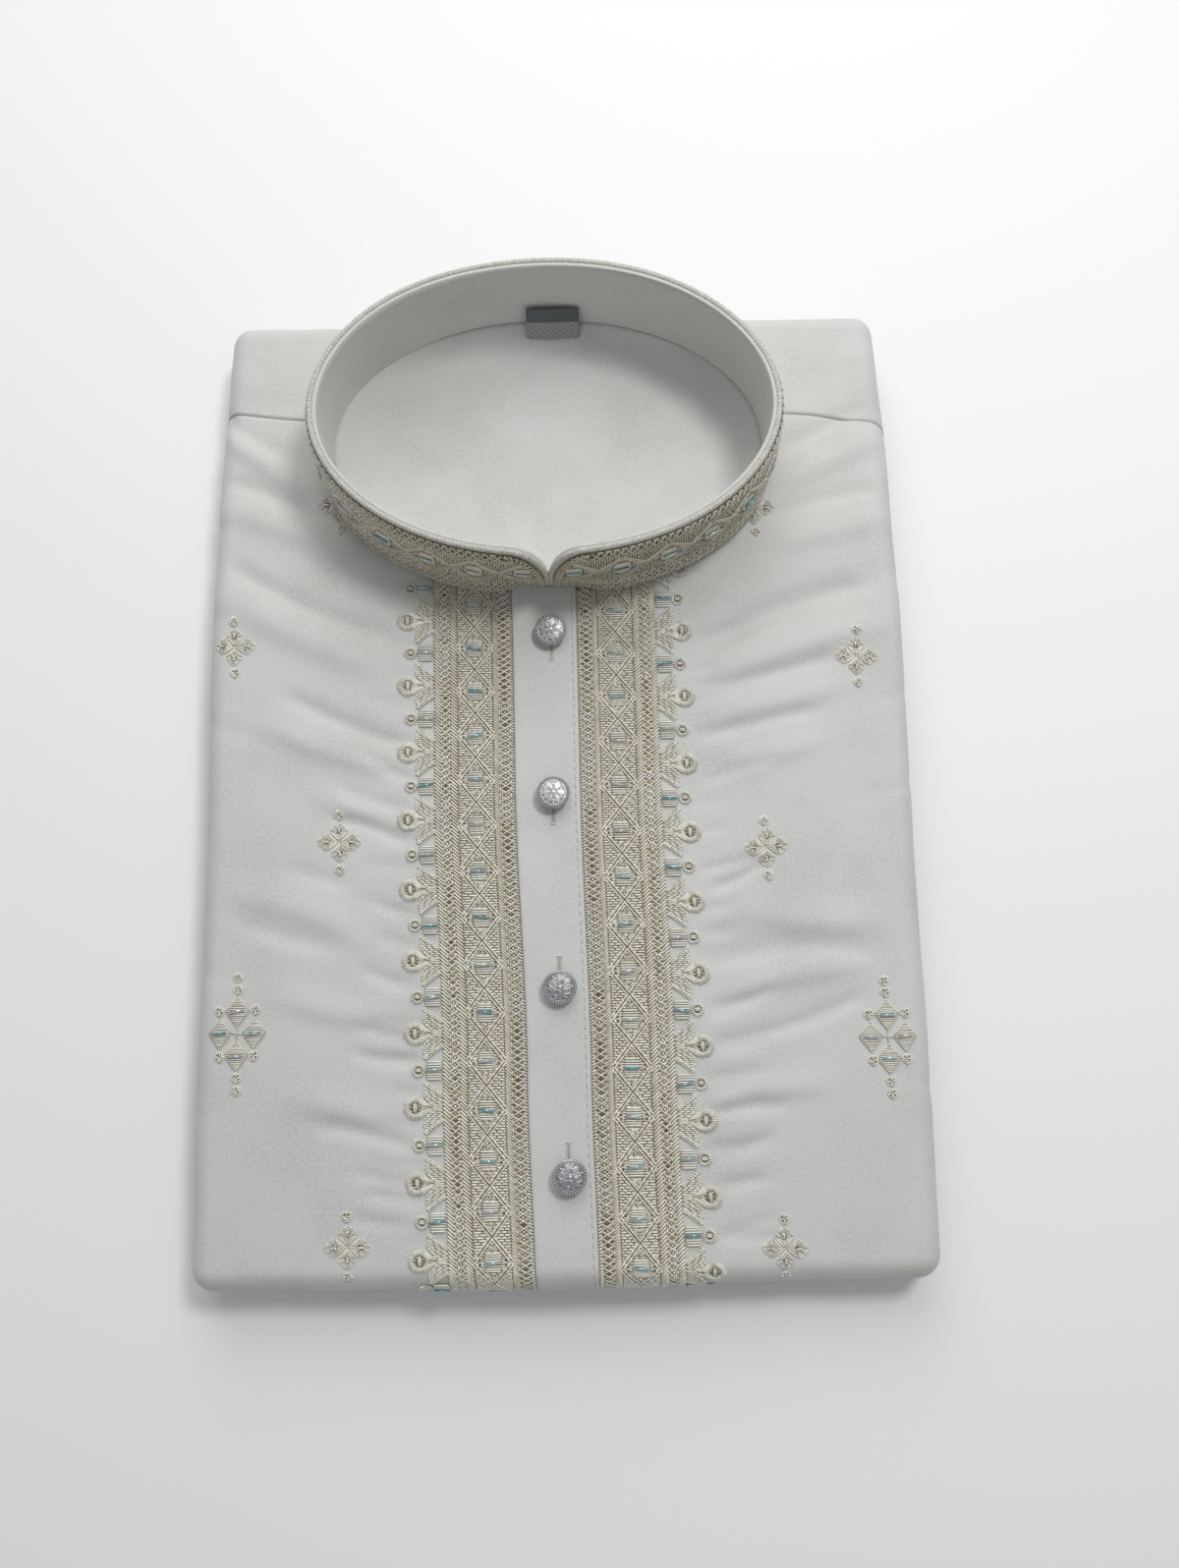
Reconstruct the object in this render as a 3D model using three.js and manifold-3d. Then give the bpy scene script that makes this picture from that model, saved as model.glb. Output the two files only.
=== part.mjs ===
// A folded kurta with a standing band collar, in millimetres.
// X runs to the viewer's right, Y towards the collar, Z up from the flat underside.
// The origin is the middle of the pack's footprint, on the surface that it rests on.
import * as THREE from 'three';
import { mergeVertices } from 'three/addons/utils/BufferGeometryUtils.js';
import Module from 'manifold-3d';

const wasm = await Module();
wasm.setup();

// The folded pack: its top surface, its ends, and how its cloth rolls over the edges
const PACK_HEIGHT = 27;
const PACK_TOP_END = 171.5;
const PACK_BOTTOM_END = -169.9;
const ROLL_REACH = 8;
const ROLL_DROP = 11.5;
const ROLL_TURN = THREE.MathUtils.degToRad(96);
const CROWN_ACROSS = 1.2;
const CROWN_ALONG = 0.8;
const FLAT_MIDDLE_Y = (PACK_TOP_END + PACK_BOTTOM_END) / 2;
const FLAT_HALF_Y = (PACK_TOP_END - PACK_BOTTOM_END) / 2 - ROLL_REACH;
const SIDES = [
  { y: -170, half: 121.8 },
  { y: -110, half: 122.8 },
  { y: -40, half: 122.3 },
  { y: 50, half: 123.7 },
  { y: 106, half: 122.6 },
  { y: 149, half: 120.8 },
  { y: 172, half: 119.8 },
];

// Cloth, trim and the gap that is left at every seam
const CLOTH_WALL = 1.2;
const PLACKET_WALL = 1.1;
const BAND_WALL = 1.1;
const MOTIF_WALL = 0.7;
const SEAM_GAP = 0.3;

// How finely the top cloth is divided: across it, along it, and round each roll
const SHEET_STEPS_ACROSS = 18;
const SHEET_STEPS_ALONG = 42;
const SHEET_STEPS_ROLL = 3;

// Main creases: soft ridges from one point to another, with their half width and height.
// They fade out over the first part of a roll.
const CREASE_FADE_SHARE = 0.35;
const CREASES = [
  { fromX: -116, fromY: 124, toX: -90, toY: 103, width: 5.5, height: 1.5 },
  { fromX: -116, fromY: 95, toX: -76, toY: 78, width: 6.5, height: 1.4 },
  { fromX: -114, fromY: 62, toX: -62, toY: 37, width: 7.5, height: 1.7 },
  { fromX: -96, fromY: 14, toX: -60, toY: 1, width: 5.5, height: 1.4 },
  { fromX: -80, fromY: -10, toX: -60, toY: -17, width: 4.5, height: 1.1 },
  { fromX: -106, fromY: -42, toX: -66, toY: -58, width: 6.5, height: 1.1 },
  { fromX: -90, fromY: -78, toX: -58, toY: -84, width: 5, height: 1.0 },
  { fromX: -86, fromY: -110, toX: -58, toY: -117, width: 5, height: 1.0 },
  { fromX: 86, fromY: 104, toX: 114, toY: 118, width: 5.5, height: 1.4 },
  { fromX: 78, fromY: 80, toX: 114, toY: 88, width: 6, height: 1.2 },
  { fromX: 60, fromY: 35, toX: 110, toY: 50, width: 7, height: 1.8 },
  { fromX: 60, fromY: 18, toX: 98, toY: 27, width: 5.5, height: 1.3 },
  { fromX: 60, fromY: -2, toX: 88, toY: 7, width: 5, height: 1.1 },
  { fromX: 60, fromY: -50, toX: 104, toY: -55, width: 6, height: 1.2 },
  { fromX: 60, fromY: -76, toX: 96, toY: -70, width: 5, height: 1.1 },
  { fromX: 60, fromY: -109, toX: 84, toY: -108, width: 4.5, height: 0.9 },
];

// Hidden folded layers: each one's thickness from the surface up, and how far it draws in.
// Each edge is part of a round, and a nick parts it from the next layer.
const LAYER_ROUND = [-62, -25, 25, 62];
const LAYER_NICK = 0.3;
const LAYERS = [
  { thick: 5.2, inset: 1.4 },
  { thick: 4.8, inset: 0.4 },
  { thick: 5.0, inset: 2.2 },
];

// The neck and its band collar: ovals at the foot and at the rim, measured on the outer face
const NECK_X = -2;
const COLLAR_FOOT = { y: 117.2, acrossHalf: 79.5, alongHalf: 52 };
const COLLAR_RIM = { y: 116, acrossHalf: 79, alongHalf: 53.5 };
const COLLAR_RIM_HEIGHT = 62;
const COLLAR_CLOTH = 1.35;
const COLLAR_SPAN = 2 * COLLAR_CLOTH + SEAM_GAP;
const COLLAR_BULGE = 0.8;
const COLLAR_STEPS = 56;
const COLLAR_RISE_STEPS = 2;
const COLLAR_END_GAP = 0.8;
const COLLAR_CORNER_RUN = 10.5;
const COLLAR_CORNER_DROP = 15;
const COLLAR_FRONT_CROWDING = 0.7;

// The inside of the back under the neck hole: its upper face, how far it goes past the hole, and its end
const BACK_TOP = PACK_HEIGHT - 4.6;
const BACK_MARGIN = 7;
const BACK_END = 166.9;

// The shoulder seams, from the left side to the right side
const SHOULDER_SEAM = [
  { x: -140, y: 136 },
  { x: -80, y: 130 },
  { x: 80, y: 129.6 },
  { x: 140, y: 123.6 },
];

// The placket's two edges, which drift a little to the right towards the lower fold
const PLACKET_EDGES = [
  { y: 70, left: -15.6, right: 7.1 },
  { y: 0, left: -14.9, right: 7.3 },
  { y: -104, left: -11.6, right: 9.3 },
  { y: -180, left: -9.4, right: 10.8 },
];

// Embroidered bands: their width from the placket to the foot of the scallops
const BAND_TOP = 80;
const BAND_BOTTOM = -180;
const BAND_LEFT_WIDTH = 33;
const BAND_RIGHT_WIDTH = 32.4;
const SCALLOP_PITCH = 23.6;
const SCALLOP_START = 53;
const SCALLOP_REACH = 7.2;
const BIG_RING_RADIUS = 4.5;
const SMALL_RING_RADIUS = 3.1;
const SCALLOP_COUNT = 10;
const SCALLOP_ROOT = 2;
const RING_ANGLES = [-110, -66, -22, 22, 66, 110];

// Scattered motifs: where each one is, and whether it is the large kind
const MOTIFS = [
  { name: 'motif_left_1', x: -77.1, y: 97.3, large: false },
  { name: 'motif_left_2', x: -112.8, y: 45, large: false },
  { name: 'motif_left_3', x: -74.7, y: -24.7, large: false },
  { name: 'motif_left_4', x: -107.3, y: -87.6, large: true },
  { name: 'motif_left_5', x: -69.6, y: -155, large: false },
  { name: 'motif_right_1', x: 71.5, y: 93.4, large: false },
  { name: 'motif_right_2', x: 104.5, y: 37.3, large: false },
  { name: 'motif_right_3', x: 69.9, y: -29.3, large: false },
  { name: 'motif_right_4', x: 107.1, y: -92.7, large: true },
  { name: 'motif_right_5', x: 70, y: -158.2, large: false },
];
const SMALL_MOTIF = { halfWidth: 7.2, halfHeight: 7.6, waist: 2.4 };
const LARGE_MOTIF = { halfWidth: 9.2, halfHeight: 13, waist: 6 };

// Metal shank buttons: place along the placket, and a slight tilt in degrees
const BUTTONS = [
  { x: -1.7, y: 47.5, tiltX: 4, tiltY: -3 },
  { x: -1.9, y: -10.2, tiltX: -3, tiltY: 4 },
  { x: -0.6, y: -74.5, tiltX: 5, tiltY: 2 },
  { x: 1.5, y: -134.1, tiltX: 3, tiltY: 6 },
];
const BUTTON_RADIUS = 5.6;
const BUTTON_THICK = 2.6;
const SHANK_RADIUS = 1.7;
const SHANK_LENGTH = 1.9;
const BUTTON_SIDES = 16;
const BUTTON_SEAT_LIFT = 0.18;
// The head's outline from its underside to its crown: radius less than the full one, and share of its thickness
const BUTTON_HEAD = [
  { in: 0.7, rise: 0.08 },
  { in: 0, rise: 0.45 },
  { in: 0.4, rise: 0.8 },
  { in: 1.3, rise: 0.78 },
  { in: 3.1, rise: 1 },
];

// The woven size tab at the back of the neck
const TAB = { x: 0.5, width: 19, height: 13.2, thick: 0.6, top: 38.4, tilt: -16.6, clear: 0.75 };

// Colours, roughness and metalness
const cloth = new THREE.MeshStandardMaterial({ color: 0xdfe0dc, roughness: 0.8, metalness: 0 });
const innerCloth = new THREE.MeshStandardMaterial({ color: 0xd6d8d6, roughness: 0.85, metalness: 0 });
const thread = new THREE.MeshStandardMaterial({ color: 0xcfc8b2, roughness: 0.6, metalness: 0 });
const metal = new THREE.MeshStandardMaterial({ color: 0xa9abb0, roughness: 0.35, metalness: 1 });
const tabCloth = new THREE.MeshStandardMaterial({ color: 0x6f7472, roughness: 0.8, metalness: 0 });

// A value from a table, eased from row to row
function fromTable(rows, key, value, at) {
  const rising = rows[0][key] < rows[rows.length - 1][key];
  const sorted = rising ? rows : [...rows].reverse();
  if (at <= sorted[0][key]) return sorted[0][value];
  for (let i = 1; i < sorted.length; i += 1) {
    const low = sorted[i - 1];
    const high = sorted[i];
    if (at <= high[key]) {
      const t = THREE.MathUtils.smoothstep(at, low[key], high[key]);
      return THREE.MathUtils.lerp(low[value], high[value], t);
    }
  }
  return sorted[sorted.length - 1][value];
}

// How high one crease lifts the cloth at a place
function creaseHeight(crease, x, y) {
  const runX = crease.toX - crease.fromX;
  const runY = crease.toY - crease.fromY;
  const length = Math.hypot(runX, runY);
  const along = ((x - crease.fromX) * runX + (y - crease.fromY) * runY) / length;
  const across = ((x - crease.fromX) * runY - (y - crease.fromY) * runX) / length;
  const taper = crease.width * 2;
  const fadeIn = THREE.MathUtils.smoothstep(along, -taper, taper);
  const fadeOut = 1 - THREE.MathUtils.smoothstep(along, length - taper, length + taper);
  return crease.height * fadeIn * fadeOut * Math.exp(-((across / crease.width) ** 2));
}

// A place on the top of the pack, where across and along go past 1 on the rolled edges.
// A share of 1 beyond the flat part is the whole roll.
function packPoint(across, along) {
  const flatAcross = THREE.MathUtils.clamp(across, -1, 1);
  const flatAlong = THREE.MathUtils.clamp(along, -1, 1);
  const y = FLAT_MIDDLE_Y + flatAlong * FLAT_HALF_Y;
  const halfX = fromTable(SIDES, 'y', 'half', y) - ROLL_REACH;
  const x = flatAcross * halfX;
  const overX = across - flatAcross;
  const overY = along - flatAlong;
  const over = Math.hypot(overX, overY);
  const share = Math.max(Math.abs(overX), Math.abs(overY));
  const turn = share * ROLL_TURN;
  const crown = CROWN_ACROSS * flatAcross ** 2 + CROWN_ALONG * flatAlong ** 2;
  const creases = CREASES.reduce((sum, crease) => sum + creaseHeight(crease, x, y), 0);
  const lift = creases * (1 - THREE.MathUtils.smoothstep(share, 0, CREASE_FADE_SHARE));
  const z = PACK_HEIGHT - crown - ROLL_DROP * (1 - Math.cos(turn)) + lift;
  const out = over > 0 ? ROLL_REACH * Math.sin(turn) / over : 0;
  return new THREE.Vector3(x + overX * out, y + overY * out, z);
}

// Evenly spaced shares over the flat part, with the rolls' own steps at both ends
function gridShares(flatSteps, rollSteps) {
  const shares = [];
  for (let i = rollSteps; i > 0; i -= 1) shares.push(-1 - i / rollSteps);
  for (let i = 0; i <= flatSteps; i += 1) shares.push(-1 + 2 * i / flatSteps);
  for (let i = 1; i <= rollSteps; i += 1) shares.push(1 + i / rollSteps);
  return shares;
}

// The normal of the cloth at a place, from its neighbours
function packNormal(across, along) {
  const step = 0.01;
  const inAcross = THREE.MathUtils.clamp(across, -2 + step, 2 - step);
  const inAlong = THREE.MathUtils.clamp(along, -2 + step, 2 - step);
  const dx = packPoint(inAcross + step, inAlong).sub(packPoint(inAcross - step, inAlong));
  const dy = packPoint(inAcross, inAlong + step).sub(packPoint(inAcross, inAlong - step));
  return dx.cross(dy).normalize();
}

// A closed mesh from a list of corners and triangles
function closedGeometry(points, triangles) {
  const geometry = new THREE.BufferGeometry();
  const numbers = points.flatMap((p) => [p.x, p.y, p.z]);
  geometry.setAttribute('position', new THREE.Float32BufferAttribute(numbers, 3));
  geometry.setIndex(triangles);
  return geometry;
}

// A grid of rows joined into a closed skin: the upper face, the lower face and the rim
function wallGeometry(upper, lower) {
  const rows = upper.length;
  const columns = upper[0].length;
  const points = [...upper.flat(), ...lower.flat()];
  const top = (i, j) => i * columns + j;
  const under = (i, j) => rows * columns + i * columns + j;
  const triangles = [];
  const quad = (a, b, c, d) => triangles.push(a, b, c, a, c, d);
  for (let i = 0; i < rows - 1; i += 1) {
    for (let j = 0; j < columns - 1; j += 1) {
      quad(top(i, j), top(i, j + 1), top(i + 1, j + 1), top(i + 1, j));
      quad(under(i, j), under(i + 1, j), under(i + 1, j + 1), under(i, j + 1));
    }
  }
  for (let j = 0; j < columns - 1; j += 1) {
    quad(under(0, j), under(0, j + 1), top(0, j + 1), top(0, j));
    quad(top(rows - 1, j), top(rows - 1, j + 1), under(rows - 1, j + 1), under(rows - 1, j));
  }
  for (let i = 0; i < rows - 1; i += 1) {
    quad(top(i, 0), top(i + 1, 0), under(i + 1, 0), under(i, 0));
    quad(under(i, columns - 1), under(i + 1, columns - 1), top(i + 1, columns - 1), top(i, columns - 1));
  }
  return closedGeometry(points, triangles);
}

// The cloth over the pack as a wall between two lifts from its outer face
const SHEET_ACROSS = gridShares(SHEET_STEPS_ACROSS, SHEET_STEPS_ROLL);
const SHEET_ALONG = gridShares(SHEET_STEPS_ALONG, SHEET_STEPS_ROLL);
const SHEET_POINTS = SHEET_ALONG.map((along) => SHEET_ACROSS.map((across) => packPoint(across, along)));
const SHEET_NORMALS = SHEET_ALONG.map((along) => SHEET_ACROSS.map((across) => packNormal(across, along)));

function liftedSheet(lift) {
  return SHEET_POINTS.map((row, i) => row.map((point, j) => (
    point.clone().addScaledVector(SHEET_NORMALS[i][j], lift))));
}

function sheetGeometry(lowLift, highLift) {
  return wallGeometry(liftedSheet(highLift), liftedSheet(lowLift));
}

// three.js geometry to a solid and back
function toSolid(geometry) {
  const bare = geometry.clone();
  bare.deleteAttribute('normal');
  bare.deleteAttribute('uv');
  const merged = mergeVertices(bare, 1e-4);
  const mesh = new wasm.Mesh({
    numProp: 3,
    vertProperties: new Float32Array(merged.attributes.position.array),
    triVerts: new Uint32Array(merged.index.array),
  });
  return new wasm.Manifold(mesh);
}

function toGeometry(solid) {
  const mesh = solid.getMesh();
  const geometry = new THREE.BufferGeometry();
  geometry.setAttribute('position', new THREE.Float32BufferAttribute(mesh.vertProperties, 3));
  geometry.setIndex([...mesh.triVerts]);
  return geometry;
}

// A plan outline as a tall prism through the whole pack
const PRISM_LOW = -20;
const PRISM_HIGH = 100;

function prism(points, low = PRISM_LOW, high = PRISM_HIGH) {
  const shape = new THREE.Shape(points.map((p) => new THREE.Vector2(p.x, p.y)));
  const geometry = new THREE.ExtrudeGeometry(shape, { depth: high - low, bevelEnabled: false });
  geometry.translate(0, 0, low);
  return toSolid(geometry);
}

function ovalPoints(oval, inward, steps) {
  const points = [];
  for (let i = 0; i < steps; i += 1) {
    const angle = 2 * Math.PI * i / steps;
    points.push({
      x: NECK_X + (oval.acrossHalf - inward) * Math.sin(angle),
      y: oval.y - (oval.alongHalf - inward) * Math.cos(angle),
    });
  }
  return points;
}

// The neck hole, flush with the inner face of the collar
function neckPrism(inward) {
  return prism(ovalPoints(COLLAR_FOOT, inward, COLLAR_STEPS));
}

// The ground in front of or behind the shoulder seams
const FAR = 260;

function frontGround() {
  const seam = SHOULDER_SEAM.map((p) => ({ x: p.x, y: p.y - SEAM_GAP / 2 }));
  return prism([{ x: -140, y: -FAR }, { x: 140, y: -FAR }, ...seam.reverse()]);
}

function shoulderGround() {
  const seam = SHOULDER_SEAM.map((p) => ({ x: p.x, y: p.y + SEAM_GAP / 2 }));
  return prism([...seam, { x: 140, y: FAR }, { x: -140, y: FAR }]);
}

function frontPanel() {
  const sheet = toSolid(sheetGeometry(-CLOTH_WALL, 0));
  return toGeometry(sheet.intersect(frontGround()).subtract(neckPrism(COLLAR_SPAN)));
}

function yoke() {
  const sheet = toSolid(sheetGeometry(-CLOTH_WALL, 0));
  return toGeometry(sheet.intersect(shoulderGround()).subtract(neckPrism(COLLAR_SPAN)));
}

// The inside of the back, a flat sheet under the neck hole

function backOutline(grow) {
  return ovalPoints(COLLAR_FOOT, COLLAR_SPAN - BACK_MARGIN - grow, COLLAR_STEPS)
    .map((p) => ({ x: p.x, y: Math.min(p.y, BACK_END + grow) }));
}

function backPanel() {
  return toGeometry(prism(backOutline(0), BACK_TOP - CLOTH_WALL, BACK_TOP));
}

// One closed ring of the folded body, drawn in from the pack's outline, at one height
const BODY_SIDE_STEPS = 12;
const BODY_END_STEPS = 6;
const BODY_CORNER_STEPS = 3;
const BODY_CLEARANCE = 0.35;
const BODY_SHOULDER_SHARES = [0.62, 0.4, 0.2, 0];

function bodyRing(inset, z) {
  const ring = [];
  const corner = ROLL_REACH;
  const top = PACK_TOP_END - inset;
  const bottom = PACK_BOTTOM_END + inset;
  const halfAt = (y) => fromTable(SIDES, 'y', 'half', y) - inset;
  for (const side of [1, -1]) {
    const from = side > 0 ? bottom + corner : top - corner;
    const to = side > 0 ? top - corner : bottom + corner;
    for (let i = 0; i < BODY_SIDE_STEPS; i += 1) {
      const y = THREE.MathUtils.lerp(from, to, i / BODY_SIDE_STEPS);
      ring.push(new THREE.Vector3(side * halfAt(y), y, z));
    }
    const endY = side > 0 ? top : bottom;
    const arcX = halfAt(to) - corner;
    for (let i = 0; i < BODY_CORNER_STEPS; i += 1) {
      const angle = (Math.PI / 2) * i / BODY_CORNER_STEPS;
      ring.push(new THREE.Vector3(
        side * (arcX + corner * Math.cos(angle)), endY + side * corner * (Math.sin(angle) - 1), z));
    }
    for (let i = 0; i < BODY_END_STEPS; i += 1) {
      ring.push(new THREE.Vector3(side * THREE.MathUtils.lerp(arcX, -arcX, i / BODY_END_STEPS), endY, z));
    }
    for (let i = 0; i < BODY_CORNER_STEPS; i += 1) {
      const angle = (Math.PI / 2) * i / BODY_CORNER_STEPS;
      ring.push(new THREE.Vector3(
        -side * (arcX + corner * Math.sin(angle)), endY + side * corner * (Math.cos(angle) - 1), z));
    }
  }
  return ring;
}

// The heights and insets of the body's rings: rounded layers, then the part inside the top cloth
function bodyProfile() {
  const profile = [];
  let z = 0;
  for (const layer of LAYERS) {
    const round = layer.thick / 2;
    const widest = Math.sin(THREE.MathUtils.degToRad(LAYER_ROUND[LAYER_ROUND.length - 1]));
    for (const degrees of LAYER_ROUND) {
      const angle = THREE.MathUtils.degToRad(degrees);
      profile.push({
        inset: layer.inset + CLOTH_WALL + round * (1 - Math.cos(angle)),
        z: z + round + round * Math.sin(angle) / widest,
      });
    }
    profile[profile.length - 1].z -= LAYER_NICK;
    z += layer.thick;
  }
  const inside = CLOTH_WALL + SEAM_GAP + BODY_CLEARANCE;
  for (const share of BODY_SHOULDER_SHARES) {
    const turn = share * Math.PI / 2;
    profile.push({
      inset: ROLL_REACH - (ROLL_REACH - inside) * Math.sin(turn),
      z: PACK_HEIGHT - CROWN_ACROSS - CROWN_ALONG - inside - (ROLL_DROP - inside) * (1 - Math.cos(turn)),
    });
  }
  return profile;
}

function foldedBody() {
  const profile = bodyProfile();
  const rings = profile.map((level) => bodyRing(level.inset, level.z));
  const count = rings[0].length;
  const points = rings.flat();
  const low = points.push(new THREE.Vector3(0, 0, profile[0].z)) - 1;
  const high = points.push(new THREE.Vector3(0, 0, profile[profile.length - 1].z)) - 1;
  const triangles = [];
  for (let k = 0; k < rings.length - 1; k += 1) {
    for (let i = 0; i < count; i += 1) {
      const next = (i + 1) % count;
      const a = k * count + i;
      const b = k * count + next;
      triangles.push(a, b, b + count, a, b + count, a + count);
    }
  }
  const last = (rings.length - 1) * count;
  for (let i = 0; i < count; i += 1) {
    const next = (i + 1) % count;
    triangles.push(low, next, i);
    triangles.push(high, last + i, last + next);
  }
  const pocket = prism(backOutline(SEAM_GAP), BACK_TOP - CLOTH_WALL - SEAM_GAP);
  return toGeometry(toSolid(closedGeometry(points, triangles)).subtract(pocket));
}

// Where the collar's foot stands: the height of the cloth under a place, found by stepping along the pack
function clothHeight(x, y) {
  const along = (y - FLAT_MIDDLE_Y) / FLAT_HALF_Y;
  const halfX = fromTable(SIDES, 'y', 'half', y) - ROLL_REACH;
  const overEdge = Math.max(0, y - (FLAT_MIDDLE_Y + FLAT_HALF_Y));
  const turn = Math.asin(Math.min(1, overEdge / ROLL_REACH));
  const flat = packPoint(x / halfX, Math.min(along, 1)).z;
  return flat - ROLL_DROP * (1 - Math.cos(turn));
}

// The collar's wall between two depths from its outer face, from one front end round the back to the other
function collarCloth(outerDepth, innerDepth) {
  const rows = [];
  const frontAngle = COLLAR_END_GAP / 2 / COLLAR_FOOT.acrossHalf;
  for (let i = 0; i <= COLLAR_STEPS; i += 1) {
    const even = i / COLLAR_STEPS;
    const share = even - COLLAR_FRONT_CROWDING * Math.sin(2 * Math.PI * even) / (2 * Math.PI);
    const angle = THREE.MathUtils.lerp(2 * Math.PI - frontAngle, frontAngle, share);
    const fromEnd = Math.min(angle, 2 * Math.PI - angle) * COLLAR_RIM.acrossHalf;
    const corner = Math.max(0, 1 - fromEnd / COLLAR_CORNER_RUN);
    const drop = COLLAR_CORNER_DROP * (1 - Math.sqrt(1 - corner ** 2));
    const lower = [];
    const upper = [];
    for (let k = 0; k <= COLLAR_RISE_STEPS; k += 1) {
      const rise = k / COLLAR_RISE_STEPS;
      const bulge = COLLAR_BULGE * Math.sin(Math.PI * rise);
      const at = (depth) => {
        const out = bulge - depth;
        const across = THREE.MathUtils.lerp(COLLAR_FOOT.acrossHalf, COLLAR_RIM.acrossHalf, rise) + out;
        const along = THREE.MathUtils.lerp(COLLAR_FOOT.alongHalf, COLLAR_RIM.alongHalf, rise) + out;
        const middle = THREE.MathUtils.lerp(COLLAR_FOOT.y, COLLAR_RIM.y, rise);
        const x = NECK_X + across * Math.sin(angle);
        const y = middle - along * Math.cos(angle);
        const foot = clothHeight(x, y) + SEAM_GAP;
        return new THREE.Vector3(x, y, THREE.MathUtils.lerp(foot, COLLAR_RIM_HEIGHT - drop, rise));
      };
      lower.push(at(innerDepth));
      upper.push(at(outerDepth));
    }
    rows.push({ lower, upper });
  }
  return wallGeometry(rows.map((row) => row.upper), rows.map((row) => row.lower));
}

// The placket's outline in plan
function placketOutline() {
  const left = PLACKET_EDGES.map((row) => ({ x: row.left, y: row.y }));
  const right = PLACKET_EDGES.map((row) => ({ x: row.right, y: row.y }));
  return [...left, ...right.reverse()];
}

function trimOnCloth(outline, wall) {
  const sheet = toSolid(sheetGeometry(SEAM_GAP, SEAM_GAP + wall));
  return sheet.intersect(prism(outline));
}

function placket() {
  return toGeometry(trimOnCloth(placketOutline(), PLACKET_WALL).subtract(neckPrism(-SEAM_GAP)));
}

// A band's outline in plan: straight beside the placket, with rings along its outer edge
function bandOutline(side) {
  const key = side < 0 ? 'left' : 'right';
  const width = side < 0 ? BAND_LEFT_WIDTH : BAND_RIGHT_WIDTH;
  const inner = (y) => fromTable(PLACKET_EDGES, 'y', key, y) + side * SEAM_GAP;
  const outer = (y) => inner(y) + side * width;
  const points = PLACKET_EDGES.map((row) => ({ x: inner(row.y), y: row.y }));
  points[0].y = BAND_TOP;
  points[points.length - 1].y = BAND_BOTTOM;
  points.push({ x: outer(BAND_BOTTOM), y: BAND_BOTTOM });
  for (let i = SCALLOP_COUNT - 1; i >= 0; i -= 1) {
    const y = SCALLOP_START - SCALLOP_PITCH * i;
    const smallY = y - SCALLOP_PITCH / 2;
    for (const ring of [
      { y: smallY, radius: SMALL_RING_RADIUS },
      { y, radius: BIG_RING_RADIUS },
    ]) {
      const reach = SCALLOP_REACH - (BIG_RING_RADIUS - ring.radius);
      const rootBelow = ring.y - ring.radius - SCALLOP_ROOT;
      const rootAbove = ring.y + ring.radius + SCALLOP_ROOT;
      points.push({ x: outer(rootBelow), y: rootBelow });
      for (const degrees of RING_ANGLES) {
        const angle = THREE.MathUtils.degToRad(degrees);
        points.push({
          x: outer(ring.y) + side * (reach - ring.radius + ring.radius * Math.cos(angle)),
          y: ring.y + ring.radius * Math.sin(angle),
        });
      }
      points.push({ x: outer(rootAbove), y: rootAbove });
    }
  }
  points.push({ x: outer(BAND_TOP), y: BAND_TOP });
  return side < 0 ? points : points.reverse();
}

function embroideredBand(side) {
  return toGeometry(trimOnCloth(bandOutline(side), BAND_WALL).subtract(neckPrism(-SEAM_GAP)));
}

// A scattered motif's outline in plan: four petals with a waist between them
function motifOutline(spot) {
  const size = spot.large ? LARGE_MOTIF : SMALL_MOTIF;
  const points = [];
  for (let i = 0; i < 8; i += 1) {
    const angle = i * Math.PI / 4;
    const petal = i % 2 === 0;
    points.push({
      x: spot.x + (petal ? size.halfWidth : size.waist) * Math.cos(angle),
      y: spot.y + (petal ? size.halfHeight : size.waist * size.halfHeight / size.halfWidth) * Math.sin(angle),
    });
  }
  return points;
}

function motif(spot) {
  return toGeometry(trimOnCloth(motifOutline(spot), MOTIF_WALL).subtract(neckPrism(-SEAM_GAP)));
}

// A shank button: a domed head with a raised rim on a short stem
function button() {
  const points = [
    new THREE.Vector2(0, 0),
    new THREE.Vector2(SHANK_RADIUS, 0),
    new THREE.Vector2(SHANK_RADIUS, SHANK_LENGTH),
  ];
  for (const row of BUTTON_HEAD) {
    points.push(new THREE.Vector2(BUTTON_RADIUS - row.in, SHANK_LENGTH + BUTTON_THICK * row.rise));
  }
  points.push(new THREE.Vector2(0, SHANK_LENGTH + BUTTON_THICK));
  const geometry = new THREE.LatheGeometry(points, BUTTON_SIDES);
  geometry.rotateX(Math.PI / 2);
  return geometry;
}

// The size tab: a small flat strip that hangs inside the back of the collar
function sizeTab() {
  return new THREE.BoxGeometry(TAB.width, TAB.thick, TAB.height);
}

const kurta = new THREE.Group();

function addPiece(name, geometry, material) {
  const mesh = new THREE.Mesh(geometry, material);
  mesh.name = name;
  kurta.add(mesh);
  return mesh;
}

addPiece('folded_body', foldedBody(), cloth);
addPiece('back_panel', backPanel(), innerCloth);
addPiece('front_panel', frontPanel(), cloth);
addPiece('yoke', yoke(), cloth);
addPiece('collar_outer', collarCloth(0, COLLAR_CLOTH), thread);
addPiece('collar_inner', collarCloth(COLLAR_CLOTH + SEAM_GAP, COLLAR_SPAN), innerCloth);
addPiece('placket', placket(), cloth);
addPiece('embroidered_band_left', embroideredBand(-1), thread);
addPiece('embroidered_band_right', embroideredBand(1), thread);
for (const spot of MOTIFS) addPiece(spot.name, motif(spot), thread);

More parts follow.
